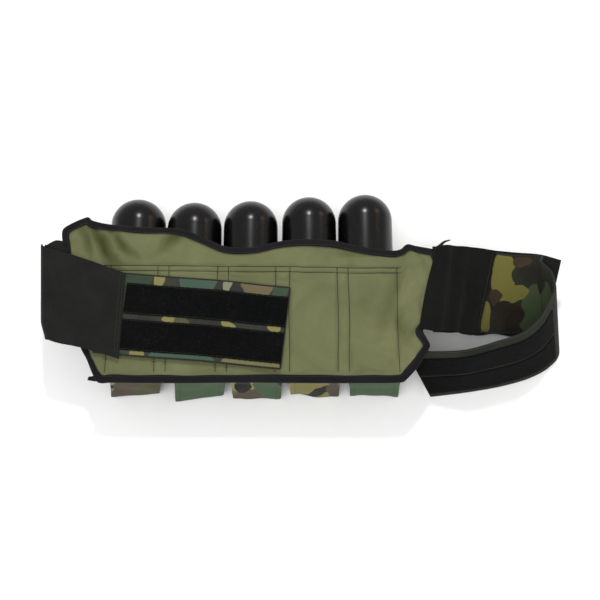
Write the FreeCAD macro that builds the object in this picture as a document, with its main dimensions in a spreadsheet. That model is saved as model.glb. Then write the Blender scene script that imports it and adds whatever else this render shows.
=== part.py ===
import FreeCAD, Part

import math
import os

import Sketcher
from FreeCAD import Placement, Rotation, Vector

# A five-pod waist pack, lying with its wearer's side up.
# X runs along the belt, +Y points at the pods' domes, +Z points at the wearer's side.
# The origin is the middle of the middle flap's outer face, which lies on the table at Z = 0.
# All lengths are in millimetres.

DRIVING_SIZES = [
    ("pod_outer", 64.0, "outer diameter of a pod"),
    ("pod_wall", 1.4, "wall of a pod's tube"),
    ("pod_length", 212.0, "dome tip to the lid's outer end"),
    ("pod_pitch", 66.4, "from one pod to the next"),
    ("outer_pair_gap", 2.6, "extra gap before the fourth pod"),
    ("dome_tip", 181.0, "Y of an average dome tip"),
    ("lid_depth", 9.0, "depth of the lid's rim"),
    ("lid_plug", 4.0, "how far the lid's plug reaches into the tube"),
    ("lid_gap", 0.2, "gap between lid and tube"),
    ("pin_radius", 1.0, "radius of the lid's hinge pin"),
    ("pin_play", 0.05, "radial clearance of the pin"),
    ("knuckle_half", 2.2, "half width of the lid's hinge knuckle"),
    ("ear_width", 2.2, "width of each hinge ear on the tube"),
    ("hinge_reach", 4.6, "hinge ears stand this far out of the tube"),
    ("tab_reach", 2.0, "the lid's thumb tab stands this far out"),
    ("tab_half", 4.0, "half width of the thumb tab"),
    ("cloth", 0.7, "thickness of one layer of pack cloth"),
    ("patch", 0.9, "thickness of a hook or loop patch"),
    ("patch_width", 28.0, "width of a hook or loop patch"),
    ("patch_length", 34.0, "length of a hook or loop patch"),
    ("patch_start", -8.0, "Y where the patches start"),
    ("play", 0.3, "gap between pieces that move past each other"),
    ("pocket_bottom", -25.0, "Y of a pocket's lower end"),
    ("pocket_top", 75.0, "Y of a pocket's upper hem"),
    ("mouth_length", 15.0, "length of the elastic mouth"),
    ("seam_x", 27.6, "half width of a pocket where it is sewn to the panel"),
    ("pocket_corner", 18.0, "inner corner radius of a pocket's front"),
    ("flap", 1.0, "thickness of a flap"),
    ("flap_width", 56.0, "width of a flap"),
    ("flap_end", 33.0, "Y of a closed flap's free end"),
    ("flap_lean", 5.5, "how far the flap's end wall leans out at its foot"),
    ("flap_corner", 9.0, "radius of the bend at a flap's foot"),
    ("hinge_out", 2.3, "flap hinge line, outside the panel's lower edge"),
    ("panel_bottom", -40.0, "Y of the panel's lower edge"),
    ("panel_bottom_half", 171.0, "half length of the panel's lower edge"),
    ("panel_half", 192.0, "half length of the panel above its cut corners"),
    ("corner_cut", 32.0, "height of the cut lower corners"),
    ("panel_left_top", 210.0, "left upper corner, from the middle"),
    ("panel_right_top", 204.0, "right upper corner, from the middle"),
    ("panel_top", 133.0, "Y of the panel's straight upper edge on the left"),
    ("panel_low_top", 119.0, "Y of the panel's upper edge on the right"),
    ("foam", 3.0, "thickness of the panel's foam"),
    ("binding_width", 10.0, "width of the edge binding"),
    ("binding", 0.8, "thickness of the edge binding"),
    ("belt_width", 92.0, "width of the belt"),
    ("belt", 2.4, "thickness of the belt"),
    ("elastic", 1.2, "thickness of a side elastic"),
    ("strip", 1.0, "thickness of a belt strip"),
    ("strip_width", 35.0, "width of a belt strip"),
    ("strip_gap", 6.0, "gap between the two strips"),
    ("lower_margin", 5.0, "camouflage margin below the lower strip"),
    ("left_belt_start", -224.0, "X where the left belt starts, inside the elastics"),
    ("left_strip_start", -138.0, "X where the left strips start"),
    ("left_belt_end", 44.0, "X of the left belt's upper end corner"),
    ("left_belt_slant", 9.0, "how far the belt's end is cut back at its lower corner"),
    ("left_belt_y", 41.5, "Y of the left belt's middle at the fold"),
    ("left_belt_angle", -4.8, "turn of the folded left belt about Z, in degrees"),
]

POD_STEPS = [0.0, -4.0, -2.0, 3.0, 6.0]  # how far each dome stands past the average

# The lie of the side straps: (south edge, north edge) of the strap's middle surface, from the panel outward.
LEFT_UNDER_FOLD = [
    ((-207.0, 7.0), (-214.5, 111.0)),
    ((-226.0, 4.0), (-234.0, 110.0)),
]
LEFT_OVER_FOLD = [
    ((-226.0, 2.0), (-234.0, 109.0)),
    ((-186.0, -6.0), (-184.0, 97.0)),
    ((-145.0, -17.0), (-142.0, 80.0)),
]
RIGHT_ELASTIC = [
    ((207.0, 13.0, 71.0), (209.5, 113.0, 71.0)),
    ((231.0, 15.0, 57.0), (232.0, 114.0, 68.0)),
    ((255.0, 18.0, 38.0), (257.0, 113.0, 64.0)),
    ((279.0, 20.0, 21.0), (283.0, 111.0, 60.0)),
    ((303.0, 22.0, 10.0), (308.0, 109.0, 58.0)),
    ((328.0, 24.0, 6.0), (335.0, 106.5, 58.0)),
    ((349.0, 26.0, 5.0), (361.0, 104.0, 58.0)),
]
RIGHT_CURL = [
    ((350.0, 26.0, 6.0), (350.0, 97.0, 61.0)),
    ((361.0, 18.0, 3.5), (357.0, 82.0, 66.0)),
    ((366.4, 8.0, 2.4), (357.5, 64.0, 71.0)),
]
RIGHT_RETURN = [
    ((365.4, 2.0, 2.0), (355.0, 58.0, 73.0)),
    ((360.0, -6.0, 1.5), (346.0, 44.0, 76.0)),
    ((345.0, -18.5, 1.2), (326.0, 25.0, 79.5)),
    ((322.0, -29.0, 1.2), (303.0, 9.0, 82.0)),
    ((290.0, -38.5, 1.2), (273.0, -1.0, 82.0)),
    ((252.0, -45.0, 1.2), (236.0, -8.5, 78.0)),
    ((213.0, -49.0, 1.2), (199.0, -15.0, 66.5)),
]


class Size:
    """A number together with the expression that gives it."""

    def __init__(self, value, text):
        self.value = value
        self.text = text

    def combine(self, other, sign, value):
        return Size(value, f"({self.text} {sign} {as_size(other).text})")

    def __add__(self, other):
        return self.combine(other, "+", self.value + as_size(other).value)

    def __sub__(self, other):
        return self.combine(other, "-", self.value - as_size(other).value)

    def __mul__(self, other):
        return self.combine(other, "*", self.value * as_size(other).value)

    def __truediv__(self, other):
        return self.combine(other, "/", self.value / as_size(other).value)

    def __neg__(self):
        return Size(-self.value, f"(-1 * {self.text})")


def as_size(value):
    if isinstance(value, Size):
        return value
    return Size(float(value), f"({float(value)})")


def root(size):
    return Size(math.sqrt(size.value), f"sqrt({size.text})")


class Sheet:
    """The driving dimensions, read by alias: sheet.pod_outer is a Size."""

    def __init__(self, doc):
        cells = doc.addObject("Spreadsheet::Sheet", "sizes")
        for row, (alias, value, note) in enumerate(DRIVING_SIZES, start=1):
            cells.set(f"A{row}", alias)
            cells.set(f"B{row}", str(value))
            cells.setAlias(f"B{row}", alias)
            cells.set(f"C{row}", note)
        doc.recompute()
        self.cells = cells

    def __getattr__(self, alias):
        return Size(float(self.cells.get(alias)), f"sizes.{alias}")


doc = FreeCAD.newDocument("pod_pack")
sheet = Sheet(doc)
nodes = []


# ---------------------------------------------------------------- shared tools

def node(piece, label):
    piece.Label = label
    nodes.append(piece)
    return piece


def bind(piece, **formulas):
    for name, size in formulas.items():
        piece.setExpression(name.replace("_", "."), as_size(size).text)


def place(piece, x=0, y=0, z=0):
    for axis, size in (("x", x), ("y", y), ("z", z)):
        piece.setExpression(f"Placement.Base.{axis}", as_size(size).text)


def new_body(label, rotation=Rotation()):
    body = doc.addObject("PartDesign::Body", label)
    body.Placement = Placement(Vector(), rotation)
    return node(body, label)


def new_sketch(body, role, offset=0):
    sketch = body.newObject("Sketcher::SketchObject", f"{body.Name}_outline")
    plane = next(feature for feature in body.Origin.OriginFeatures if feature.Role == role)
    sketch.AttachmentSupport = [(plane, "")]
    sketch.MapMode = "FlatFace"
    sketch.setExpression("AttachmentOffset.Base.z", as_size(offset).text)
    return sketch


def arc_middle(start, end, radius, side):
    """The point halfway along an arc, on the given side of its chord."""
    chord = end - start
    half = chord.Length / 2
    away = Vector(-chord.y, chord.x, 0).normalize() * side
    rise = radius - math.sqrt(max(radius * radius - half * half, 0.0))
    return (start + end) / 2 + away * rise


def draw_outline(sketch, corners):
    """A closed outline. A corner is (x, y), or (x, y, radius, side) when an arc leads to it.

    Side is 1 when the arc bulges to the left of the way along it, and -1 to the right.
    """
    points = [Vector(as_size(corner[0]).value, as_size(corner[1]).value, 0) for corner in corners]
    count = len(corners)
    for index in range(count):
        corner = corners[index]
        start = points[index - 1]
        end = points[index]
        if len(corner) == 2:
            sketch.addGeometry(Part.LineSegment(start, end))
            continue
        middle = arc_middle(start, end, as_size(corner[2]).value, corner[3])
        sketch.addGeometry(Part.Arc(start, middle, end))
    tips = [arc_ends(sketch, index, points[index]) for index in range(count)]
    for index in range(count):
        start_tip = 3 - tips[(index + 1) % count]
        sketch.addConstraint(
            Sketcher.Constraint("Coincident", index, tips[index], (index + 1) % count, start_tip)
        )
        for kind, size in (("DistanceX", corners[index][0]), ("DistanceY", corners[index][1])):
            tie(sketch, (kind, -1, 1, index, tips[index]), as_size(size))
        if len(corners[index]) > 2:
            tie(sketch, ("Radius", index), as_size(corners[index][2]))


def arc_ends(sketch, index, end):
    """Which end of the edge, 1 or 2, lies at the given point."""
    distance = (sketch.getPoint(index, 2) - end).Length
    return 2 if distance < 1e-4 else 1


def tie(sketch, place_of, size):
    number = sketch.addConstraint(Sketcher.Constraint(*place_of, size.value))
    sketch.setExpression(f"Constraints[{number}]", size.text)


def add_pad(body, sketch, length, midplane=False, reverse=False):
    pad = body.newObject("PartDesign::Pad", f"{body.Name}_pad")
    pad.Profile = sketch
    pad.setExpression("Length", as_size(length).text)
    pad.Midplane = midplane
    pad.Reversed = reverse
    sketch.Visibility = False
    return pad


def rectangle(low_x, low_y, high_x, high_y):
    return [(low_x, low_y), (high_x, low_y), (high_x, high_y), (low_x, high_y)]


def block(label, low, size):
    """A plain box with its sizes and its place bound to the sheet."""
    box = doc.addObject("Part::Box", label)
    bind(box, Length=size[0], Width=size[1], Height=size[2])
    place(box, *low)
    return box


def pod_x(number):
    """X of a pod's axis. Pods are counted 1 to 5 from the left."""
    x = sheet.pod_pitch * (number - 3)
    if number > 3:
        x = x + sheet.outer_pair_gap
    return x


# ---------------------------------------------------------------- levels above the table

hook_low = sheet.flap
loop_low = hook_low + sheet.patch + sheet.play
pocket_low = loop_low + sheet.patch
pod_radius = sheet.pod_outer / 2
pod_z = pocket_low + sheet.cloth + sheet.play + pod_radius
binding_low = pod_z + pod_radius + 0.5
face_low = binding_low + sheet.binding
foam_low = face_low + sheet.cloth
liner_low = foam_low + sheet.foam
liner_high = liner_low + sheet.cloth
panel_high = liner_high + sheet.binding


# ---------------------------------------------------------------- the panel

def panel_outline():
    """The panel's cut edge, with two shallow dips in its upper edge."""
    sketch = doc.addObject("Sketcher::SketchObject", "panel_edge")
    low = sheet.panel_bottom
    top = sheet.panel_top
    low_top = sheet.panel_low_top
    draw_outline(sketch, [
        (-sheet.panel_bottom_half, low),
        (sheet.panel_bottom_half, low),
        (sheet.panel_half, low + sheet.corner_cut),
        (sheet.panel_right_top, low_top - 10),
        (sheet.panel_right_top - 26, low_top - 6),
        (sheet.panel_right_top - 84, low_top - 1, 62, 1),
        (34, low_top),
        (-54, low_top + 2, 92, 1),
        (-82, top),
        (-160, top + 1),
        (-182, top + 6),
        (-sheet.panel_left_top, top - 8),
        (-sheet.panel_half, low + sheet.corner_cut),
    ])
    return sketch


def panel_slab(edge, name, inset, low, thickness):
    """A slab with the panel's outline moved in by the inset."""
    profile = edge
    if inset is not None:
        profile = doc.addObject("Part::Offset2D", f"{name}_profile")
        profile.Source = edge
        bind(profile, Value=-as_size(inset))
    slab = doc.addObject("Part::Extrusion", name)
    slab.Base = profile
    slab.DirMode = "Custom"
    slab.Dir = Vector(0, 0, 1)
    slab.Solid = True
    bind(slab, LengthFwd=thickness)
    place(slab, 0, 0, low)
    return slab


def cut(label, base, tool):
    result = doc.addObject("Part::Cut", label)
    result.Base = base
    result.Tool = tool
    return result


def make_panel():
    edge = panel_outline()
    cover = sheet.binding
    node(panel_slab(edge, "panel_face", cover, face_low, sheet.cloth), "panel_face")
    node(panel_slab(edge, "panel_foam", cover, foam_low, sheet.foam), "panel_foam")
    node(panel_slab(edge, "panel_liner", cover, liner_low, sheet.cloth), "panel_liner")
    whole = panel_slab(edge, "binding_whole", None, binding_low, panel_high - binding_low)
    window = panel_slab(edge, "binding_window", sheet.binding_width, binding_low - 1,
                        panel_high - binding_low + 2)
    core = panel_slab(edge, "binding_core", cover, face_low, liner_high - face_low)
    ring = cut("binding_ring", whole, window)
    node(cut("panel_binding", ring, core), "panel_binding")


# ---------------------------------------------------------------- pockets and flaps

def pocket_section():
    """A pocket seen from its mouth: sewn flanges, round sides and a flat front."""
    inner = pod_radius + sheet.play + 0.1
    outer = inner + sheet.cloth
    seam = sheet.seam_x
    seam_out = seam + sheet.cloth
    top = face_low
    round_in = pod_z + root(inner * inner - seam * seam)
    round_out = pod_z + root(outer * outer - seam_out * seam_out)
    corner_z = pocket_low + sheet.cloth + sheet.pocket_corner
    flat = inner - sheet.pocket_corner
    corner_out = sheet.pocket_corner + sheet.cloth
    front_in = pocket_low + sheet.cloth
    right = [
        (outer, top),
        (outer, top - sheet.cloth),
        (seam_out, top - sheet.cloth),
        (seam_out, round_out),
        (outer, pod_z, outer, 1),
        (outer, corner_z),
        (flat, pocket_low, corner_out, 1),
    ]
    left = [
        (-flat, pocket_low),
        (-outer, corner_z, corner_out, 1),
        (-outer, pod_z),
        (-seam_out, round_out, outer, 1),
        (-seam_out, top - sheet.cloth),
        (-outer, top - sheet.cloth),
        (-outer, top),
    ]
    inside = [
        (-seam, top),
        (-seam, round_in),
        (-inner, pod_z, inner, -1),
        (-inner, corner_z),
        (-flat, front_in, sheet.pocket_corner, -1),
        (flat, front_in),
        (inner, corner_z, sheet.pocket_corner, -1),
        (inner, pod_z),
        (seam, round_in, inner, -1),
        (seam, top),
    ]
    return right + left + inside


def make_sleeve(label, number, low_y, length):
    body = new_body(label)
    sketch = new_sketch(body, "XZ_Plane")
    draw_outline(sketch, pocket_section())
    add_pad(body, sketch, length, reverse=True)
    place(body, pod_x(number), low_y, 0)


def make_pocket(number):
    make_sleeve(f"pocket_{number}", number, sheet.pocket_bottom,
                sheet.pocket_top - sheet.pocket_bottom)
    make_sleeve(f"pocket_{number}_mouth", number, sheet.pocket_top + 0.1, sheet.mouth_length)
    patch_x = pod_x(number) - sheet.patch_width / 2
    patch_size = (sheet.patch_width, sheet.patch_length, sheet.patch)
    loop = block(f"pocket_{number}_loop", (patch_x, sheet.patch_start, loop_low), patch_size)
    node(loop, f"pocket_{number}_loop")
    hook = block(f"flap_{number}_hook", (patch_x, sheet.patch_start, hook_low), patch_size)
    node(hook, f"flap_{number}_hook")


def make_flap(number):
    """A closed flap: an end wall that hangs from the panel's edge, and a flat front."""
    body = new_body(f"flap_{number}")
    sketch = new_sketch(body, "YZ_Plane")
    top_y = sheet.panel_bottom - sheet.hinge_out
    top_z = binding_low + 2
    foot_y = top_y - sheet.flap_lean
    bend = sheet.flap_corner
    half = sheet.flap / 2
    draw_outline(sketch, [
        (top_y + half, top_z),
        (top_y - half, top_z),
        (foot_y - half, bend),
        (foot_y + bend - half, 0, bend, -1),
        (sheet.flap_end, 0),
        (sheet.flap_end, sheet.flap),
        (foot_y + bend - half, sheet.flap),
        (foot_y + half, bend, bend - sheet.flap, 1),
    ])
    add_pad(body, sketch, sheet.flap_width, midplane=True)
    place(body, pod_x(number), 0, 0)


# ---------------------------------------------------------------- pods

def pod_body(label, number):
    """A body whose own Y axis is the pod's axis, with the lid joint at Y = 0."""
    body = new_body(label, Rotation(Vector(0, 1, 0), 45))
    joint_y = sheet.dome_tip + POD_STEPS[number - 1] - sheet.pod_length + sheet.lid_depth
    place(body, pod_x(number), joint_y, pod_z)
    return body


def add_block(body, name, low, high):
    """Adds a box to the body, drawn on its XY plane and padded up from low z to high z."""
    sketch = new_sketch(body, "XY_Plane", low[2])
    sketch.Label = name
    draw_outline(sketch, rectangle(low[0], low[1], high[0], high[1]))
    return add_pad(body, sketch, as_size(high[2]) - low[2])


def add_turned(body, outline):
    sketch = new_sketch(body, "XY_Plane")
    draw_outline(sketch, outline)
    turned = body.newObject("PartDesign::Revolution", f"{body.Name}_turned")
    turned.Profile = sketch
    turned.ReferenceAxis = (sketch, ["V_Axis"])
    turned.Angle = 360
    sketch.Visibility = False
    return turned


def add_bore(body, radius):
    """The hinge pin's bore, along the body's Z through all of it."""
    sketch = new_sketch(body, "XY_Plane")
    circle = sketch.addGeometry(Part.Circle(Vector(hinge_x.value, 0, 0), Vector(0, 0, 1), radius.value))
    tie(sketch, ("Radius", circle), radius)
    tie(sketch, ("DistanceX", -1, 1, circle, 3), hinge_x)
    tie(sketch, ("DistanceY", -1, 1, circle, 3), as_size(hinge_y))
    bore = body.newObject("PartDesign::Pocket", f"{body.Name}_bore")
    bore.Profile = sketch
    bore.Type = "ThroughAll"
    bore.Midplane = True
    sketch.Visibility = False


hinge_x = pod_radius + sheet.hinge_reach / 2
hinge_y = as_size(0)
hinge_high = 2.3


def make_tube(number):
    body = pod_body(f"pod_{number}_tube", number)
    radius = pod_radius
    inner = radius - sheet.pod_wall
    barrel = sheet.pod_length - sheet.lid_depth - radius
    add_turned(body, [
        (inner, 0),
        (radius, 0),
        (radius, barrel),
        (0, barrel + radius, radius, -1),
        (0, barrel + inner),
        (inner, barrel, inner, 1),
    ])
    ear_low = sheet.knuckle_half + sheet.play
    ear_high = ear_low + sheet.ear_width
    for name, low, high in (("upper_ear", ear_low, ear_high), ("lower_ear", -ear_high, -ear_low)):
        add_block(body, name, (radius - 1, 0, low), (radius + sheet.hinge_reach, 7, high))
        add_block(body, name + "_tip", (radius + 0.4, -hinge_high, low),
                  (radius + sheet.hinge_reach, 0.5, high))
    add_bore(body, sheet.pin_radius + sheet.pin_play)


def make_lid(number):
    body = pod_body(f"pod_{number}_lid", number)
    radius = pod_radius
    plug = radius - sheet.pod_wall - sheet.lid_gap
    add_turned(body, [
        (0, -sheet.lid_depth),
        (radius, -sheet.lid_depth),
        (radius, -sheet.lid_gap),
        (plug, -sheet.lid_gap),
        (plug, sheet.lid_plug),
        (plug - 1.4, sheet.lid_plug),
        (plug - 1.4, -sheet.lid_depth + 2),
        (0, -sheet.lid_depth + 2),
    ])
    half = sheet.knuckle_half
    add_block(body, "knuckle_root", (radius - 1, -sheet.lid_depth, -half),
              (radius + sheet.hinge_reach, -hinge_high, half))
    add_block(body, "knuckle", (radius + 0.4, -hinge_high - 0.5, -half),
              (radius + sheet.hinge_reach, hinge_high, half))
    add_block(body, "thumb_tab", (-radius - sheet.tab_reach, -sheet.lid_depth, -sheet.tab_half),
              (-radius + 1, -sheet.lid_depth + 2.5, sheet.tab_half))
    add_bore(body, sheet.pin_radius + sheet.pin_play)


def make_pin(number):
    pin = doc.addObject("Part::Cylinder", f"pod_{number}_pin")
    half = sheet.knuckle_half + sheet.play + sheet.ear_width
    bind(pin, Radius=sheet.pin_radius, Height=half * 2)
    turn = math.radians(45)
    across = Vector(math.sin(turn), 0, math.cos(turn))
    pin.Placement = Placement(Vector(), Rotation(Vector(0, 0, 1), across))
    out = hinge_x * math.cos(turn)
    back = half * math.sin(turn)
    joint_y = sheet.dome_tip + POD_STEPS[number - 1] - sheet.pod_length + sheet.lid_depth
    place(pin, pod_x(number) + out - back, joint_y + hinge_y, pod_z - out - back)
    node(pin, f"pod_{number}_pin")


# ---------------------------------------------------------------- belts and elastics

def narrowed(lie, margin, width):
    """The part of the lie that starts a margin from its south edge and is as wide as given."""
    narrow = []
    for south, north in lie:
        across = (Vector(*north) - Vector(*south)).normalize()
        start = Vector(*south) + across * margin
        narrow.append((tuple(start), tuple(start + across * width)))
    return narrow


def outward_faces(edges, side):
    """At each section, the direction from the strap's middle surface to its outer face."""
    middles = [(south + north) / 2 for south, north in edges]
    last = len(edges) - 1
    faces = []
    for index, (south, north) in enumerate(edges):
        along = middles[min(index + 1, last)] - middles[max(index - 1, 0)]
        faces.append((north - south).cross(along).normalize() * side)
    return faces


def make_strap(label, lie, low, high, side=1, band=None):
    """A strap that follows the lie. Low and high are counted outward from its middle surface.

    Side is 1 on the right of the panel and -1 on its left. A band is the margin from the south
    edge and the width of a narrower strap on the same surface, which starts one section later.
    """
    edges = [(Vector(*south), Vector(*north)) for south, north in lie]
    faces = outward_faces(edges, side)
    if band:
        edges = [(Vector(*south), Vector(*north)) for south, north in narrowed(lie, *band)][1:]
        faces = faces[1:]
    wires = []
    for (south, north), face in zip(edges, faces):
        corners = [south + face * low, north + face * low, north + face * high, south + face * high]
        wires.append(Part.makePolygon(corners + [corners[0]]))
    strap = doc.addObject("Part::Feature", label)
    strap.Shape = Part.makeLoft(wires, True, True)
    strap.Placement = Placement()
    return node(strap, label)


def left_fold_lie(low_z, top_z):
    """The left elastics: outward under the fold, round it, and back over the panel."""
    middle_z = (low_z + top_z) / 2
    radius = (top_z - low_z) / 2
    south_end, north_end = LEFT_UNDER_FOLD[-1]
    lie = [(south + (low_z,), north + (low_z,)) for south, north in LEFT_UNDER_FOLD]
    for step in range(1, 6):
        turn = math.pi * step / 6
        out = radius * math.sin(turn)
        up = middle_z - radius * math.cos(turn)
        lie.append(((south_end[0] - out, south_end[1], up), (north_end[0] - out, north_end[1], up)))
    lie += [(south + (top_z,), north + (top_z,)) for south, north in LEFT_OVER_FOLD]
    return lie


def make_left_belt(middle_z):
    """The folded belt with a slanted free end, and the two strips on its outer face."""
    turn = Rotation(Vector(0, 0, 1), sheet.left_belt_angle.value)
    length = sheet.left_belt_end - sheet.left_belt_start
    half = sheet.belt_width / 2
    slope = sheet.left_belt_slant / sheet.belt_width
    low_z = middle_z - sheet.belt / 2
    strip_x = sheet.left_strip_start - sheet.left_belt_start
    lower_low = -half + sheet.lower_margin
    lower_high = lower_low + sheet.strip_width
    upper_low = lower_high + sheet.strip_gap
    upper_high = upper_low + sheet.strip_width
    strip_z = low_z + sheet.belt
    bands = [
        ("left_belt", 0, -half, half, low_z, sheet.belt),
        ("left_strip_lower", strip_x, lower_low, lower_high, strip_z, sheet.strip),
        ("left_strip_upper", strip_x, upper_low, upper_high, strip_z, sheet.strip),
    ]
    for label, start, low, high, z, thickness in bands:
        body = new_body(label, turn)
        sketch = new_sketch(body, "XY_Plane")
        draw_outline(sketch, [
            (start, low),
            (length - slope * (half - low), low),
            (length - slope * (half - high), high),
            (start, high),
        ])
        add_pad(body, sketch, thickness)
        place(body, sheet.left_belt_start, sheet.left_belt_y, z)


def make_straps():
    belt_face = sheet.belt.value / 2
    elastic_low = belt_face + sheet.play.value
    elastic_high = elastic_low + sheet.elastic.value
    stack = sheet.belt / 2 + sheet.play + sheet.elastic
    top_z = panel_high + sheet.play + stack
    fold = left_fold_lie(face_low.value + 1.5, top_z.value)
    make_strap("left_elastic_inner", fold[:-1], -elastic_high, -elastic_low, side=-1)
    make_strap("left_elastic_outer", fold, elastic_low, elastic_high, side=-1)
    make_left_belt(top_z)
    make_strap("right_elastic_inner", RIGHT_ELASTIC[:4], -elastic_high, -elastic_low)
    make_strap("right_elastic_outer", RIGHT_ELASTIC, elastic_low, elastic_high)
    width = sheet.belt_width.value
    first_part = narrowed(RIGHT_ELASTIC[1:6], 3.5, width) + RIGHT_CURL
    make_strap("right_belt", first_part, -belt_face, belt_face)
    make_strap("right_belt_end", RIGHT_RETURN, -belt_face, belt_face)
    strip_low = belt_face + 0.1
    strip_high = strip_low + sheet.strip.value
    strip_width = sheet.strip_width.value
    lower = sheet.lower_margin.value
    upper = lower + strip_width + sheet.strip_gap.value
    for label, margin in (("right_strip_lower", lower), ("right_strip_upper", upper)):
        make_strap(label, RIGHT_RETURN, strip_low, strip_high, band=(margin, strip_width))


# ---------------------------------------------------------------- build and export

def check(piece):
    if "Invalid" in piece.State or "Error" in piece.State:
        raise RuntimeError(f"{piece.Label} failed: {piece.State}")


def export():
    for piece in doc.Objects:
        check(piece)
    os.makedirs("parts", exist_ok=True)
    for piece in nodes:
        if piece.Shape.isNull() or not piece.Shape.isValid():
            raise RuntimeError(f"{piece.Label} has no valid shape")
        if len(piece.Shape.Solids) != 1:
            raise RuntimeError(f"{piece.Label} has {len(piece.Shape.Solids)} solids")
        if piece.Shape.Volume <= 0:
            raise RuntimeError(f"{piece.Label} is inside out")
        piece.Shape.exportStep(f"parts/{piece.Label}.step")


def main():
    make_panel()
    for number in range(1, 6):
        make_pocket(number)
        make_flap(number)
        make_tube(number)
        make_lid(number)
        make_pin(number)
    make_straps()
    doc.recompute()
    export()


main()
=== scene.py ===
import math

import bmesh
import bpy
import numpy as np
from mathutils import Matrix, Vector


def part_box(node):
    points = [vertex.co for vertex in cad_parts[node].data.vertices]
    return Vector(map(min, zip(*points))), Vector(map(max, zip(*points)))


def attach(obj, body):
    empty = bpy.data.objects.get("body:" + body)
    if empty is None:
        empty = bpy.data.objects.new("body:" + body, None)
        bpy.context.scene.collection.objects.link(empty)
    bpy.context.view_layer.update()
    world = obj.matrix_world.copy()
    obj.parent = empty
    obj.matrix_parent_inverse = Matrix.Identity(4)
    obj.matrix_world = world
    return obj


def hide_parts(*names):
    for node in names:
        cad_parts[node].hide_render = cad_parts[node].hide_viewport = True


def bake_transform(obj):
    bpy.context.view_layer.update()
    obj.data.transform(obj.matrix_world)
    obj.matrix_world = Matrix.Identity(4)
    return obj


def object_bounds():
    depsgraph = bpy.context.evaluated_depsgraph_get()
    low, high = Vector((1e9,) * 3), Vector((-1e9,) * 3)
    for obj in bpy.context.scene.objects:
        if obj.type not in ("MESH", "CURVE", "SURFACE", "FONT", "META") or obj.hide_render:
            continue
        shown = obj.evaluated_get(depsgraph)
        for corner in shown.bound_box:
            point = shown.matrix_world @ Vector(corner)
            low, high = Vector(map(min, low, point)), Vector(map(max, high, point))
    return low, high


# The looks of a five-pod waist pack that lies with its wearer's side up.
# Lengths in this script are millimetres; each mesh is turned to metres as it is made.
# X runs along the belt, Y towards the pods' domes, Z up from the table.

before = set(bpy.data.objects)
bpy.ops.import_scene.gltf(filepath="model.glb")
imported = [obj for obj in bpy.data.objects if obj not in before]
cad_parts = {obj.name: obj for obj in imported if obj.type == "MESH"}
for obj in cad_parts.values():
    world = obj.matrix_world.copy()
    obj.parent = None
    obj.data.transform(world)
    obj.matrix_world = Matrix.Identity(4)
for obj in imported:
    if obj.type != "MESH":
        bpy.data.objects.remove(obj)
cad_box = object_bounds()

MM = 0.001
PODS = range(1, 6)


def node_box(name):
    low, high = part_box(name)
    return np.array(low) / MM, np.array(high) / MM


tube_low, tube_high = node_box("pod_3_tube")
POD_RADIUS = (tube_high[0] - tube_low[0]) / 2
POD_Z = tube_low[2] + POD_RADIUS
POD_X = [node_box(f"pod_{number}_tube")[0][0] + POD_RADIUS for number in PODS]
BINDING_LOW, BINDING_HIGH = (corner[2] for corner in node_box("panel_binding"))
BINDING_EDGE_Y = node_box("panel_binding")[0][1]
FACE_LOW = node_box("panel_face")[0][2]
FOAM_LOW, FOAM_HIGH = (corner[2] for corner in node_box("panel_foam"))
LINER_HIGH = node_box("panel_liner")[1][2]
BELT_LOW = node_box("left_belt")[0][2]
BELT_HIGH = node_box("left_belt")[1][2]
BELT_MIDDLE = (BELT_LOW + BELT_HIGH) / 2

# Cloth thicknesses.
CLOTH = 0.7
BELT = 2.4
ELASTIC = 1.2
STRIP = 1.0
FLAP = 0.8
TAPE = 0.8

# The panel's edge, in four runs that start at the lower left corner.
LOWER_EDGE = [(-183, -6), (-176, -18), (-163.5, -42.5), (-148, -44), (-75, -44.5), (0, -44), (75, -44.5),
              (150, -44.5), (170, -43.5), (177, -38), (187, -27), (199, -9)]
RIGHT_EDGE = [(199, -9), (201.5, -2), (198, 6), (194.5, 14), (198.5, 28), (205.5, 62), (211.5, 88),
              (214, 107)]
UPPER_EDGE = [(214, 107), (206, 109.5), (190, 112.5), (180, 114.5), (173, 109), (166, 107), (156, 107.5),
              (142, 109.5), (128, 111.8), (114, 115), (100, 118.5), (84, 120), (58, 120.5), (32, 117.5),
              (5, 111), (-25, 112), (-53, 123.5), (-70, 131), (-86, 134), (-120, 135), (-160, 136.5),
              (-177, 140), (-183, 144), (-210, 132), (-212, 119)]
LEFT_EDGE = [(-212, 119), (-206, 88), (-199, 45), (-186, 5), (-183, -6)]
BINDING_WIDTH = 8.2
HIDDEN_WIDTH = 4.0   # the tape is narrow where the right elastic covers it
PANEL_INSET = 4.5    # the panel's cloths end this far inside its edge, under the tape
LINER_SHIFT = 4.5    # the liner's stitch lines sit a little to the right of the pods
SEAM_REACH = 27.0    # from there to the stitch line on either side of a pod
SEAM_GAP = 6.0       # between the two rows of stitches that cross the liner
STITCH_PITCH = 3.2
STITCH_LENGTH = 2.8
EDGING_RADIUS = 1.15
RUN_STEPS = 8        # points on a smooth line for each point given
CURL_STEPS = 24      # the same for the belt that curls round
ELASTIC_COLUMNS = 61
BELT_COLUMNS = 47
BELT_INSET = 3.5     # the belt is sewn in this far from the wider elastic's edge

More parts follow.
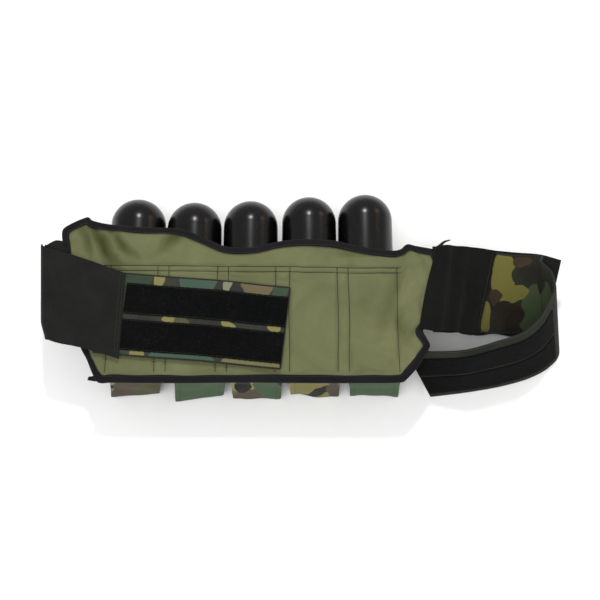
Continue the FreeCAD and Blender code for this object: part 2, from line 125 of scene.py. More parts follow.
# The straps' lie: (south edge, north edge) of the middle surface, from the panel outward.
LEFT_UNDER_FOLD = [((-203, 7), (-205, 115)), ((-214, 6), (-219, 118)), ((-221, 4), (-229.5, 113))]
LEFT_OVER_FOLD = [((-221, 2), (-229.5, 109)), ((-184, -6), (-184, 95)), ((-139, -18), (-136.5, 79))]
LEFT_UNDER_Z = FACE_LOW + 1.5
RIGHT_ELASTIC = [
    ((207, 13, 71), (209.5, 113, 71)), ((231, 15, 57), (232, 114, 68)), ((255, 18, 38), (257, 113, 64)),
    ((279, 20, 21), (283, 111, 60)), ((303, 22, 10), (308, 109, 58)), ((328, 24, 6), (335, 106.5, 58)),
    ((349, 26, 5), (358.5, 99.5, 58))]
# The inner elastic lies on the liner's edge, and its end is cut on a slant.
RIGHT_INNER = [
    ((189.5, 16, 73.6), (213, 110, 74)), ((204, 13.5, 71.4), (222, 113, 72.6)),
    ((220, 14.5, 62.5), (236, 113.5, 67.5)), ((240, 16.5, 49), (259, 113, 64)),
    ((261.5, 18.5, 34), (283, 111, 60))]
RIGHT_CURL = [((347, 25, 5.5), (333, 98, 61)), ((358, 18, 3.5), (343, 84, 66)),
              ((363.5, 8, 2.4), (345, 67, 71))]
RIGHT_RETURN = [
    ((363, 1, 2.6), (343, 58, 73)), ((358, -7, 2.2), (336, 45, 76)), ((344, -18, 2), (323, 25, 79.5)),
    ((322, -28, 2), (303, 9, 82)), ((290, -36.5, 2), (273, -1, 82)), ((252, -43, 2), (236, -10, 77.5)),
    ((211, -48, 2), (178, -8, 60))]
BELT_WIDTH = 92.0
STRIP_MARGINS = (("lower", 5.0), ("upper", 46.0))
RETURN_MARGINS = (("lower", 7.0), ("upper", 45.5))
RETURN_STRIP_WIDTH = 35.0
STRIP_WIDTH = 35.0


# ---------------------------------------------------------------- lines and surfaces

def waves(a, b, seed, length, count=7):
    """A smooth field of about plus or minus one, with bumps of about the given length."""
    draw = np.random.RandomState(seed)
    total = np.zeros(np.broadcast(a, b).shape)
    for _ in range(count):
        way = draw.uniform(0, 2 * math.pi)
        span = length * draw.uniform(0.7, 1.7)
        phase = draw.uniform(0, 2 * math.pi)
        total += np.sin((a * math.cos(way) + b * math.sin(way)) * 2 * math.pi / span + phase)
    return total / math.sqrt(count)


def bump(distance, width):
    """One at zero distance, falling smoothly to nothing."""
    return np.exp(-(distance / width) ** 2)


def smooth_step(value, low, high):
    share = np.clip((value - low) / (high - low), 0.0, 1.0)
    return share * share * (3 - 2 * share)


def unit(vectors):
    return vectors / np.maximum(np.linalg.norm(vectors, axis=-1, keepdims=True), 1e-9)


def smooth_runs(points, closed=False, steps=RUN_STEPS):
    """Points along a smooth line through the given ones, the same number in every run."""
    points = np.array(points, dtype=float)
    if closed:
        before = np.roll(points, 1, axis=0)
        after = np.roll(points, -1, axis=0)
    else:
        before = np.concatenate([points[:1], points[:-1]])
        after = np.concatenate([points[1:], points[-1:]])
    gaps = [np.linalg.norm(step.reshape(len(points), -1), axis=1)
            for step in (points - before, after - points)]
    shorter = np.minimum(*gaps)
    reach = np.where(shorter > 0, shorter, np.maximum(*gaps))
    across = (after - before).reshape(len(points), -1)
    slope = (unit(across) * reach[:, None]).reshape(points.shape)
    share = np.linspace(0, 1, steps, endpoint=False).reshape(-1, *[1] * (points.ndim - 1))
    pieces = []
    for index in range(len(points) if closed else len(points) - 1):
        other = (index + 1) % len(points)
        pieces.append(points[index] * (2 * share**3 - 3 * share**2 + 1)
                      + slope[index] * (share**3 - 2 * share**2 + share)
                      + points[other] * (3 * share**2 - 2 * share**3)
                      + slope[other] * (share**3 - share**2))
    return np.concatenate(pieces if closed else pieces + [points[-1:]])


def spaced(line, count):
    """The same line with evenly spaced points."""
    gaps = np.linalg.norm(np.diff(line, axis=0).reshape(len(line) - 1, -1), axis=1)
    reach = np.concatenate([[0], np.cumsum(gaps)])
    places = np.linspace(0, reach[-1], count)
    flat = line.reshape(len(line), -1)
    moved = np.stack([np.interp(places, reach, flat[:, axis]) for axis in range(flat.shape[1])], axis=1)
    return moved.reshape(count, *line.shape[1:])


def grid_normals(grid):
    return unit(np.cross(np.gradient(grid, axis=0), np.gradient(grid, axis=1)))


def grid_reach(grid):
    """Distances along and across a grid, in millimetres."""
    along = np.linalg.norm(np.diff(grid, axis=0), axis=2).mean(axis=1)
    across = np.linalg.norm(np.diff(grid, axis=1), axis=2).mean(axis=0)
    u = np.concatenate([[0], np.cumsum(along)])[:, None] + np.zeros(grid.shape[1])
    v = np.concatenate([[0], np.cumsum(across)])[None, :] + np.zeros((grid.shape[0], 1))
    return np.stack([u, v], axis=2)


# ---------------------------------------------------------------- meshes

def add_mesh(name, points, faces, finish, uv=None, sharp=50):
    """A mesh object in metres. UVs are given per point, in metres over the cloth."""
    mesh = bpy.data.meshes.new(name)
    mesh.from_pydata((np.asarray(points) * MM).tolist(), [], faces)
    if uv is not None:
        layer = mesh.uv_layers.new(name="cloth")
        corner = np.empty(len(mesh.loops), dtype=np.int32)
        mesh.loops.foreach_get("vertex_index", corner)
        layer.data.foreach_set("uv", np.asarray(uv, dtype=np.float32)[corner].ravel())
    model = bmesh.new()
    model.from_mesh(mesh)
    bmesh.ops.recalc_face_normals(model, faces=model.faces)
    model.to_mesh(mesh)
    model.free()
    mesh.polygons.foreach_set("use_smooth", [True] * len(mesh.polygons))
    mesh.set_sharp_from_angle(angle=math.radians(sharp))
    mesh.materials.append(finish)
    piece = bpy.data.objects.new(name, mesh)
    bpy.context.scene.collection.objects.link(piece)
    return piece


def grid_faces(rows, columns, first=0):
    faces = []
    for row in range(rows - 1):
        for column in range(columns - 1):
            start = first + row * columns + column
            faces.append((start, start + 1, start + columns + 1, start + columns))
    return faces


def rim_faces(rows, columns):
    """Quads that join the edges of two stacked grids."""
    loop = list(range(columns))
    loop += [row * columns + columns - 1 for row in range(1, rows)]
    loop += [(rows - 1) * columns + column for column in range(columns - 2, -1, -1)]
    loop += [row * columns for row in range(rows - 2, 0, -1)]
    size = rows * columns
    return [(a, b, b + size, a + size) for a, b in zip(loop, loop[1:] + loop[:1])]


def add_slab(name, top, bottom, finish, shift=(0.0, 0.0)):
    """A closed piece between two grids of points."""
    rows, columns = top.shape[:2]
    points = np.vstack([top.reshape(-1, 3), bottom.reshape(-1, 3)])
    faces = grid_faces(rows, columns) + grid_faces(rows, columns, rows * columns)
    faces += rim_faces(rows, columns)
    uv = (grid_reach(top).reshape(-1, 2) + np.array(shift)) * MM
    return add_mesh(name, points, faces, finish, uv=np.vstack([uv, uv + 0.37]))


def add_cloth(name, middle, thickness, finish, shift=(0.0, 0.0), hem=0.0, hem_width=5.0, soft_edge=0.55):
    """A cloth over a grid of points, thicker by the hem where its edge is turned in."""
    reach = grid_reach(middle)
    edge = np.minimum(np.minimum(reach[..., 0], reach[-1:, :, 0] - reach[..., 0]),
                      np.minimum(reach[..., 1], reach[:, -1:, 1] - reach[..., 1]))
    half = thickness / 2 + hem * (1 - smooth_step(edge, hem_width - 1.0, hem_width + 1.0))
    half = half * (soft_edge + (1 - soft_edge) * smooth_step(edge, 0.0, 1.2))
    offset = grid_normals(middle) * half[..., None]
    return add_slab(name, middle + offset, middle - offset, finish, shift)


def add_stitches(name, lines, finish, radius=0.55):
    """Threads along lines, each given as points and their up directions: one low mound for each stitch."""
    points = []
    faces = []
    for line, ups in lines:
        reach = np.linalg.norm(np.diff(line, axis=0), axis=1).sum()
        count = max(int(reach / STITCH_PITCH), 2)
        places = spaced(np.concatenate([line, ups], axis=1), count * 2)
        for start, end in zip(places[0::2], places[1::2]):
            way = unit(end[:3] - start[:3])
            up = unit(start[3:])
            side = np.cross(up, way)
            middle = (start[:3] + end[:3]) / 2
            first = len(points)
            for share, width in ((-0.5, 0.35), (-0.25, 1.0), (0.25, 1.0), (0.5, 0.35)):
                for turn in range(4):
                    angle = math.pi / 2 * turn + math.pi / 4
                    swing = side * math.cos(angle) + up * math.sin(angle)
                    points.append(middle + way * STITCH_LENGTH * share + swing * radius * width)
            for ring in range(3):
                for turn in range(4):
                    a = first + ring * 4 + turn
                    b = first + ring * 4 + (turn + 1) % 4
                    faces.append((a, b, b + 4, a + 4))
            faces.append(tuple(first + turn for turn in range(4)))
            faces.append(tuple(first + 12 + turn for turn in range(4)))
    return add_mesh(name, points, faces, finish, sharp=80)


def stitch_line(points, normals, lift):
    return points + normals * lift, normals


def add_edging(name, lines):
    """A thin dark tube along each line of points, for the dark line along a belt's edge."""
    points = []
    faces = []
    sides = 8
    for line in lines:
        way = unit(np.gradient(line, axis=0))
        side = unit(np.cross(way, [0.02, 0.01, 1.0]))
        up = np.cross(side, way)
        first = len(points)
        for place in range(len(line)):
            thick = EDGING_RADIUS * (1 + 0.08 * math.sin(place * 1.9))
            for turn in range(sides):
                angle = 2 * math.pi * turn / sides
                points.append(line[place] + (side[place] * math.cos(angle) + up[place] * math.sin(angle))
                              * thick)
        for ring in range(len(line) - 1):
            for turn in range(sides):
                a = first + ring * sides + turn
                b = first + ring * sides + (turn + 1) % sides
                faces.append((a, b, b + sides, a + sides))
        faces.append(tuple(first + turn for turn in range(sides)))
        faces.append(tuple(first + (len(line) - 1) * sides + turn for turn in range(sides)))
    return add_mesh(name, points, faces, THREAD_DARK, sharp=80)


def join_up(piece, body, slot, *nodes):
    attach(piece, body)
    if nodes:
        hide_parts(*nodes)
    return piece


def bend_up(piece, first, second, start, end, slot, *nodes):
    """A cloth's placement, baked into its mesh, with the given CAD parts hidden. The two bodies and the two
    points are not used.
    """
    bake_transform(piece)
    if nodes:
        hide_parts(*nodes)
    return piece


# ---------------------------------------------------------------- finishes

def colour_from(text):
    """A linear colour from its usual six-figure code."""
    parts = [int(text[place:place + 2], 16) / 255 for place in (0, 2, 4)]
    return tuple(((part + 0.055) / 1.055) ** 2.4 if part > 0.04045 else part / 12.92
                 for part in parts) + (1.0,)


def add_node(tree, kind, sockets=None, **settings):
    made = tree.nodes.new("ShaderNode" + kind)
    for name, value in settings.items():
        setattr(made, name, value)
    for name, value in (sockets or {}).items():
        if isinstance(value, bpy.types.NodeSocket):
            tree.links.new(value, made.inputs[name])
        else:
            made.inputs[name].default_value = value
    return made


def sums(tree, operation, first, second=0.0, third=0.0):
    return add_node(tree, "Math", {0: first, 1: second, 2: third}, operation=operation).outputs[0]


def mix_colours(tree, factor, first, second, blend="MIX"):
    mix = add_node(tree, "Mix", data_type="RGBA", blend_type=blend)
    for socket, value in ((mix.inputs[0], factor), (mix.inputs[6], first), (mix.inputs[7], second)):
        if isinstance(value, bpy.types.NodeSocket):
            tree.links.new(value, socket)
        else:
            socket.default_value = value
    return mix.outputs[2]


def ramp(tree, value, low, high):
    return add_node(tree, "MapRange", {"Value": value, "From Min": low, "From Max": high}).outputs[0]


def new_group(name, inputs, outputs):
    tree = bpy.data.node_groups.new(name, "ShaderNodeTree")
    for label, kind, value in inputs:
        socket = tree.interface.new_socket(label, in_out="INPUT", socket_type="NodeSocket" + kind)
        if value is not None:
            socket.default_value = value
    for label, kind in outputs:
        tree.interface.new_socket(label, in_out="OUTPUT", socket_type="NodeSocket" + kind)
    return tree, tree.nodes.new("NodeGroupInput").outputs, tree.nodes.new("NodeGroupOutput").inputs


def weave_group():
    """Threads that pass over and under each other, with slubs and small creases."""
    tree, given, result = new_group(
        "weave", [("Vector", "Vector", None), ("Pitch", "Float", 0.001), ("Slub", "Float", 0.5)],
        [("Height", "Float")])
    parts = add_node(tree, "SeparateXYZ", {0: given["Vector"]}).outputs
    turn = sums(tree, "DIVIDE", math.pi, given["Pitch"])
    warp = sums(tree, "SINE", sums(tree, "MULTIPLY", parts[0], turn))
    weft = sums(tree, "SINE", sums(tree, "MULTIPLY", parts[1], turn))
    slub = add_node(tree, "TexNoise", {"Vector": given["Vector"], "Scale": 420.0, "Detail": 4.0,
                                       "Roughness": 0.65})
    rough = sums(tree, "MULTIPLY", slub.outputs[0], given["Slub"])
    both = sums(tree, "MULTIPLY_ADD", sums(tree, "MULTIPLY", warp, weft), 0.4, rough)
    tree.links.new(both, result["Height"])
    return tree


def rib_group():
    """Rubber cores that make fine ribs along a strap, crossed by the covering threads."""
    tree, given, result = new_group(
        "ribs", [("Vector", "Vector", None), ("Pitch", "Float", 0.003), ("Cross", "Float", 0.35)],
        [("Height", "Float")])
    parts = add_node(tree, "SeparateXYZ", {0: given["Vector"]}).outputs
    turn = sums(tree, "DIVIDE", 2 * math.pi, given["Pitch"])
    rib = sums(tree, "SINE", sums(tree, "MULTIPLY", parts[1], turn))
    cross_turn = sums(tree, "MULTIPLY", turn, 2.6)
    thread = sums(tree, "SINE", sums(tree, "MULTIPLY", parts[0], cross_turn))
    slub = add_node(tree, "TexNoise", {"Vector": given["Vector"], "Scale": 600.0, "Detail": 3.0})
    cross = sums(tree, "MULTIPLY_ADD", thread, given["Cross"], slub.outputs[0])
    tree.links.new(sums(tree, "MULTIPLY_ADD", rib, 0.5, cross), result["Height"])
    return tree


def dye_group():
    """Uneven colour, as dye, washing and handling leave it."""
    tree, given, result = new_group(
        "uneven_dye",
        [("Vector", "Vector", None), ("Color", "Color", (0.5, 0.5, 0.5, 1)),
         ("Faded Color", "Color", (0.6, 0.6, 0.6, 1)), ("Patches", "Float", 20.0),
         ("Amount", "Float", 0.5)],
        [("Color", "Color"), ("Mask", "Float")])
    broad = add_node(tree, "TexNoise", {"Vector": given["Vector"], "Scale": given["Patches"],
                                        "Detail": 6.0, "Roughness": 0.62, "Distortion": 0.5})
    share = sums(tree, "MULTIPLY", ramp(tree, broad.outputs[0], 0.36, 0.68), given["Amount"])
    tree.links.new(mix_colours(tree, share, given["Color"], given["Faded Color"]), result["Color"])
    tree.links.new(share, result["Mask"])
    return tree


def lint_group():
    """Pale flecks of fluff caught in a pile."""
    tree, given, result = new_group(
        "lint", [("Vector", "Vector", None), ("Fineness", "Float", 900.0), ("Amount", "Float", 0.1)],
        [("Mask", "Float")])
    fleck = add_node(tree, "TexNoise", {"Vector": given["Vector"], "Scale": given["Fineness"],
                                        "Detail": 2.0, "Roughness": 0.6, "Distortion": 1.5})
    broad = add_node(tree, "TexNoise", {"Vector": given["Vector"], "Scale": 35.0, "Detail": 3.0})
    both = sums(tree, "MULTIPLY", ramp(tree, fleck.outputs[0], 0.6, 0.75), broad.outputs[0])
    tree.links.new(sums(tree, "MULTIPLY", both, given["Amount"]), result["Mask"])
    return tree


def woodland_group():
    """Woodland camouflage: a tan ground with green, brown and black shapes printed over it."""
    tree, given, result = new_group(
        "woodland_print",
        [("Vector", "Vector", None), ("Fineness", "Float", 15.0), ("Tan", "Color", colour_from("8a8450")),
         ("Green", "Color", colour_from("4c6048")), ("Brown", "Color", colour_from("5a473a")),
         ("Black", "Color", colour_from("1c1d19"))],
        [("Color", "Color")])
    colour = given["Tan"]
    layers = [("Green", (0.0, 0.0, 0.0), 1.0, 0.485), ("Brown", (3.1, 1.7, 0.0), 1.15, 0.55),
              ("Black", (7.9, 4.3, 0.0), 1.4, 0.565)]
    for name, move, size, level in layers:
        moved = add_node(tree, "VectorMath", {0: given["Vector"], 1: move}, operation="ADD")
        shape = add_node(tree, "TexNoise", {
            "Vector": moved.outputs[0], "Scale": sums(tree, "MULTIPLY", given["Fineness"], size),
            "Detail": 1.7, "Roughness": 0.45, "Distortion": 0.9})
        edge = ramp(tree, shape.outputs[0], level - 0.005, level + 0.005)
        colour = mix_colours(tree, edge, colour, given[name])
    tree.links.new(colour, result["Color"])
    return tree


def shape_group():
    """One rounded printed shape with a wandering edge."""
    tree, given, result = new_group(
        "printed_shape",
        [("Vector", "Vector", None), ("Centre", "Vector", None), ("Radii", "Vector", None),
         ("Turn", "Float", 0.0), ("Soft", "Float", 0.03)],
        [("Mask", "Float")])
    drift = add_node(tree, "TexNoise", {"Vector": given["Vector"], "Scale": 55.0, "Detail": 1.5})
    wander = add_node(tree, "VectorMath", {0: drift.outputs[1], 1: (0.5, 0.5, 0.5)}, operation="SUBTRACT")
    bent = add_node(tree, "VectorMath", {0: wander.outputs[0], 1: (0.011, 0.011, 0.0), 2: given["Vector"]},
                    operation="MULTIPLY_ADD")
    away = add_node(tree, "VectorMath", {0: bent.outputs[0], 1: given["Centre"]}, operation="SUBTRACT")
    turned = add_node(tree, "VectorRotate", {"Vector": away.outputs[0], "Angle": given["Turn"]},
                      rotation_type="Z_AXIS")
    scaled = add_node(tree, "VectorMath", {0: turned.outputs[0], 1: given["Radii"]}, operation="DIVIDE")
    flat = add_node(tree, "VectorMath", {0: scaled.outputs[0], 1: (1.0, 1.0, 0.0)}, operation="MULTIPLY")
    size = add_node(tree, "VectorMath", {0: flat.outputs[0]}, operation="LENGTH").outputs["Value"]
    outside = sums(tree, "ADD", given["Soft"], 1.0)
    inside = sums(tree, "SUBTRACT", 1.0, given["Soft"])
    tree.links.new(ramp(tree, size, outside, inside), result["Mask"])
    return tree


WEAVE = weave_group()
RIBS = rib_group()
DYE = dye_group()
LINT = lint_group()
WOODLAND = woodland_group()
SHAPE = shape_group()


def use(tree, group, **sockets):
    made = tree.nodes.new("ShaderNodeGroup")
    made.node_tree = group
    for name, value in sockets.items():
        label = name.replace("_", " ")
        if isinstance(value, bpy.types.NodeSocket):
            tree.links.new(value, made.inputs[label])
        else:
            made.inputs[label].default_value = value
    return made.outputs


def new_finish(name, **sockets):
    finish = bpy.data.materials.new(name)
    finish.use_nodes = True
    shader = finish.node_tree.nodes["Principled BSDF"]
    for label, value in sockets.items():
        shader.inputs[label.replace("_", " ")].default_value = value
    return finish, finish.node_tree, shader


def raise_bump(tree, shader, height, strength, depth):
    made = add_node(tree, "Bump", {"Height": height, "Strength": strength, "Distance": depth})
    tree.links.new(made.outputs[0], shader.inputs["Normal"])


def cloth_place(tree):
    return add_node(tree, "UVMap", uv_map="cloth").outputs[0]


def object_place(tree):
    return add_node(tree, "TexCoord").outputs["Object"]


def shape_mask(tree, place, centre, radii, turn, **more):
    """One printed shape, in millimetres on the cloth and turned in degrees."""
    return use(tree, SHAPE, Vector=place, Centre=(centre[0] * MM, centre[1] * MM, 0.0),
               Radii=(radii[0] * MM, radii[1] * MM, 1.0), Turn=math.radians(turn), **more)["Mask"]


def paint_shade_in_thread_gaps(tree, shader, colour, height, span, fall, most):
    """A cloth's colour with painted shade: darker in the gaps between its threads."""
    gaps = sums(tree, "MULTIPLY_ADD", ramp(tree, height, *span), -fall, most)
    tree.links.new(mix_colours(tree, gaps, colour, colour_from("000000")), shader.inputs["Base Color"])


def woven_finish(name, colour, faded, pitch=0.0011, patches=18.0, amount=0.6, sheen=0.12, rough=0.88,
                 painted_shades=()):
    """A plain woven cloth of one dye.

    Painted shades are soft patches of painted shade over folds and creases, as (colour, centre, radii, turn,
    share).
    """
    finish, tree, shader = new_finish(name, Sheen_Weight=sheen, Sheen_Roughness=0.6,
                                      Specular_IOR_Level=0.2)
    place = cloth_place(tree)
    dye = use(tree, DYE, Vector=place, Color=colour_from(colour), Faded_Color=colour_from(faded),
              Patches=patches, Amount=amount)
    dye_and_painted_shade = dye["Color"]
    # Soft patches of painted shade darken the dye over folds and creases.
    for shade, centre, radii, turn, share in painted_shades:
        mask = shape_mask(tree, place, centre, radii, turn, Soft=0.75)
        dye_and_painted_shade = mix_colours(tree, sums(tree, "MULTIPLY", mask, share), dye_and_painted_shade, colour_from(shade))
    fleck = use(tree, LINT, Vector=place, Fineness=700.0, Amount=0.12)
    pale = mix_colours(tree, fleck["Mask"], dye_and_painted_shade, colour_from(faded))
    weave = use(tree, WEAVE, Vector=place, Pitch=pitch, Slub=0.9)
    paint_shade_in_thread_gaps(tree, shader, pale, weave["Height"], (-0.4, 1.3), 0.22, 0.18)
    tree.links.new(sums(tree, "MULTIPLY_ADD", dye["Mask"], 0.08, rough), shader.inputs["Roughness"])
    raise_bump(tree, shader, weave["Height"], 0.45, 0.0004)
    return finish


def ribbed_finish(name, colour, faded, pitch, sheen=0.1, strength=0.5, gloss=0.12):
    """A woven tape or elastic with ribs along it."""
    finish, tree, shader = new_finish(name, Sheen_Weight=sheen, Sheen_Roughness=0.5,
                                      Specular_IOR_Level=gloss)
    place = cloth_place(tree)
    dye = use(tree, DYE, Vector=place, Color=colour_from(colour), Faded_Color=colour_from(faded),
              Patches=25.0, Amount=0.8)
    fleck = use(tree, LINT, Vector=place, Fineness=800.0, Amount=0.07)
    pale = mix_colours(tree, fleck["Mask"], dye["Color"], colour_from("8a8a84"))
    ribs = use(tree, RIBS, Vector=place, Pitch=pitch, Cross=0.35)
    paint_shade_in_thread_gaps(tree, shader, pale, ribs["Height"], (0.0, 1.4), 0.3, 0.25)
    tree.links.new(sums(tree, "MULTIPLY_ADD", ribs["Height"], 0.08, 0.75), shader.inputs["Roughness"])
    raise_bump(tree, shader, ribs["Height"], strength, 0.0005)
    return finish


def pile_finish(name, colour, lint, hooked=False):
    """Hook or loop tape: a short dense pile that catches lint."""
    finish, tree, shader = new_finish(name, Sheen_Weight=0.02, Sheen_Roughness=0.5,
                                      Specular_IOR_Level=0.05)
    place = object_place(tree)
    pile = add_node(tree, "TexNoise", {"Vector": place, "Scale": 1500.0, "Detail": 3.0, "Roughness": 0.7})
    tuft = add_node(tree, "TexVoronoi", {"Vector": place, "Scale": 620.0 if hooked else 420.0})
    height = sums(tree, "SUBTRACT", pile.outputs[0], sums(tree, "MULTIPLY", tuft.outputs[0], 0.8))
    dye = use(tree, DYE, Vector=place, Color=colour_from(colour), Faded_Color=colour_from("0c0d0c"),
              Patches=30.0, Amount=0.5)
    fleck = use(tree, LINT, Vector=place, Fineness=1100.0, Amount=lint)
    pale = mix_colours(tree, fleck["Mask"], dye["Color"], colour_from("a0a09a"))
    tree.links.new(pale, shader.inputs["Base Color"])
    tree.links.new(sums(tree, "MULTIPLY_ADD", pile.outputs[0], 0.15, 0.8), shader.inputs["Roughness"])
    raise_bump(tree, shader, height, 0.9, 0.0007)
    return finish


def woodland_finish(name, shapes=(), ground=None, move=(0.0, 0.0, 0.0)):
    """Camouflage cloth. Shapes are (colour, centre, radii, turn in degrees) in millimetres on the cloth."""
    finish, tree, shader = new_finish(name, Sheen_Weight=0.03, Sheen_Roughness=0.6,
                                      Specular_IOR_Level=0.12)
    place = cloth_place(tree)
    moved = add_node(tree, "VectorMath", {0: place, 1: move}, operation="ADD").outputs[0]
    if ground:
        colour = add_node(tree, "RGB").outputs[0]
        colour.default_value = colour_from(ground)
    else:
        colour = use(tree, WOODLAND, Vector=moved, Fineness=15.0)["Color"]
    for shade, centre, radii, turn in shapes:
        mask = shape_mask(tree, place, centre, radii, turn)
        colour = mix_colours(tree, mask, colour, colour_from(shade))
    dye = use(tree, DYE, Vector=place, Color=colour, Faded_Color=colour_from("77755f"),
              Patches=26.0, Amount=0.1)
    weave = use(tree, WEAVE, Vector=place, Pitch=0.0011, Slub=0.8)
    paint_shade_in_thread_gaps(tree, shader, dye["Color"], weave["Height"], (-0.4, 1.3), 0.25, 0.22)
    shader.inputs["Roughness"].default_value = 0.88
    raise_bump(tree, shader, weave["Height"], 0.45, 0.0004)
    return finish


def plastic_finish(name, colour, rough, coat, scuffs):
    """Moulded plastic with a fine grain and rubbed spots."""
    finish, tree, shader = new_finish(name, Coat_Weight=coat, Coat_Roughness=0.22,
                                      Specular_IOR_Level=0.24)
    place = object_place(tree)
    grain = add_node(tree, "TexNoise", {"Vector": place, "Scale": 1400.0, "Detail": 4.0})
    dye = use(tree, DYE, Vector=place, Color=colour_from(colour), Faded_Color=colour_from("151513"),
              Patches=45.0, Amount=scuffs)
    stretched = add_node(tree, "Mapping", {"Vector": place, "Scale": (1.0, 0.12, 1.0)})
    scuff = add_node(tree, "TexNoise", {"Vector": stretched.outputs[0], "Scale": 260.0, "Detail": 5.0,
                                        "Roughness": 0.7})
    rubbed = ramp(tree, scuff.outputs[0], 0.58, 0.78)
    colour_now = mix_colours(tree, sums(tree, "MULTIPLY", rubbed, 0.05), dye["Color"],
                             colour_from("5c5a55"))
    tree.links.new(colour_now, shader.inputs["Base Color"])
    uneven = sums(tree, "MULTIPLY_ADD", rubbed, 0.14, rough)
    tree.links.new(sums(tree, "MULTIPLY_ADD", grain.outputs[0], 0.06, uneven), shader.inputs["Roughness"])
    raise_bump(tree, shader, grain.outputs[0], 0.10, 0.0002)
    return finish


def steel_finish():
    finish, tree, shader = new_finish("pin_steel", Metallic=1.0)
    place = object_place(tree)
    line = add_node(tree, "Mapping", {"Vector": place, "Scale": (0.05, 1.0, 1.0)})
    brush = add_node(tree, "TexNoise", {"Vector": line.outputs[0], "Scale": 3000.0, "Detail": 3.0})
    shade = mix_colours(tree, brush.outputs[0], colour_from("8b8d90"), colour_from("c6c7c9"))
    tree.links.new(shade, shader.inputs["Base Color"])
    tree.links.new(sums(tree, "MULTIPLY_ADD", brush.outputs[0], 0.25, 0.22), shader.inputs["Roughness"])
    return finish


def floor_finish():
    finish, tree, shader = new_finish("studio_paper", Roughness=0.95, Specular_IOR_Level=0.1)
    place = object_place(tree)
    fibre = add_node(tree, "TexNoise", {"Vector": place, "Scale": 60.0, "Detail": 3.0})
    shade = mix_colours(tree, fibre.outputs[0], colour_from("f9f9f9"), colour_from("fcfcfc"))
    tree.links.new(shade, shader.inputs["Base Color"])
    return finish


TAN = "7b7646"
GREEN = "43583f"
BROWN = "4f443a"
BLACK = "1c1d19"
OLIVE = "4b4a33"

# The liner's colour, with soft patches of painted shade over the folds of its upper left corner and the
# creases on its right.
LINER_CLOTH = woven_finish("liner_twill", "5c6040", "6f714f", patches=14.0, amount=0.8, sheen=0.04, painted_shades=[
    ("363a18", (45, 138), (7, 26), -30, 1.0), ("393d1c", (66, 142), (5, 17), -42, 0.9),
    ("3f4322", (24, 140), (4, 16), -10, 0.8), ("3c401e", (122, 151), (6, 18), 40, 0.85),
    ("42451f", (372, 100), (7, 34), 14, 0.5), ("42451f", (386, 60), (6, 24), -20, 0.5),
    ("42451f", (330, 150), (20, 3), -8, 0.5)])
POCKET_CLOTH = woven_finish("pocket_cloth", "1b1c1d", "2b2c2c", sheen=0.2, rough=0.78)
FOAM_FINISH = woven_finish("foam_padding", "2a2a2a", "3a3a3a", pitch=0.002)
TAPE_FINISH = ribbed_finish("binding_tape", "101013", "18181b", 0.0016, sheen=0.04, strength=0.4)
ELASTIC_FINISH = ribbed_finish("elastic_webbing", "151613", "1f1f1d", 0.0028, sheen=0.05, strength=0.6)
# A darker copy of the elastic webbing: painted shade on the right inner elastic.
INNER_ELASTIC_SHADED_COPY = ribbed_finish("inner_elastic_painted_shade", "0b0b0a", "131312", 0.0028, sheen=0.04, strength=0.6,
                                     gloss=0.1)
MOUTH_FINISH = ribbed_finish("mouth_elastic", "19191a", "242425", 0.0022, sheen=0.15)
STRIP_FINISH = pile_finish("belt_pile", "030404", 0.15)
LOOP_FINISH = pile_finish("loop_pile", "151515", 0.25)
HOOK_FINISH = pile_finish("hook_pile", "171717", 0.1, hooked=True)
THREAD_DARK = woven_finish("dark_thread", "16170f", "26271c", pitch=0.0006)
THREAD_OLIVE = woven_finish("olive_thread", "0f100a", "1c1d12", pitch=0.0006)
FACE_CAMO = woodland_finish("face_camouflage", move=(1.3, 0.7, 0.0))
POD_PLASTIC = plastic_finish("pod_plastic", "020202", 0.21, 0.0, 0.3)
LID_PLASTIC = plastic_finish("lid_plastic", "161616", 0.5, 0.0, 0.6)
PIN_STEEL = steel_finish()


# ---------------------------------------------------------------- the panel

def above_elastic(x, y):
    """How far a point lies beyond the upper edge of the left elastic."""
    return (y - 107 + 0.41 * (x + 208)) * 0.925


def corner_lift(x, y):
    """The panel's free upper left corner stands up in soft folds."""
    lift = smooth_step(above_elastic(x, y), 2, 40) * smooth_step(-x, 112, 185)
    folds = (4.0 * bump(x + 176 - 0.2 * (y - 120), 4.5) + 3.0 * bump(x + 160 - 0.5 * (y - 120), 4.0)
             + 1.5 * bump(x + 193, 5.0)) * smooth_step(-y, -141, -128)
    return lift * (9.0 - folds)


def under_belt(x, y):
    """One where the left belt and its elastic lie on the panel, even when stretched, falling to nothing."""
    across = np.abs(y - 39.5 + 0.084 * (x + 224))
    belt = smooth_step(-across, -62, -52) * smooth_step(-x, -112, -86)
    elastic = smooth_step(-above_elastic(x, y), -10, -4) * smooth_step(-x, 80, 110)
    return np.maximum(belt, elastic)


def elastic_press(x, y):
    """How far the left elastic presses the panel's edge down."""
    return 1.6 * smooth_step(-x, 145, 165) * smooth_step(-above_elastic(x, y), -8, -2)


def seam_lines():
    """X of the panel's upright stitch lines: two beside every pod."""
    lines = []
    for x in POD_X:
        lines += [x + LINER_SHIFT - SEAM_REACH, x + LINER_SHIFT + SEAM_REACH]
    return lines


def cross_seam_y(x):
    return 83.5 - 0.011 * (x + 160)


def seam_dips(x, y):
    """How deep the stitching pulls the liner down, from 0 to 1."""
    dip = np.zeros(np.broadcast(x, y).shape)
    inside = smooth_step(-y, -92, -85)
    for line in seam_lines():
        dip = np.maximum(dip, bump(x - line - 0.5 * np.sin(y / 17 + line), 2.2) * inside)
    for gap in (0.0, SEAM_GAP):
        along = smooth_step(x, -166, -158) * smooth_step(-x, -176, -168)
        dip = np.maximum(dip, 0.8 * bump(y - cross_seam_y(x) - gap, 1.8) * along)
    return dip


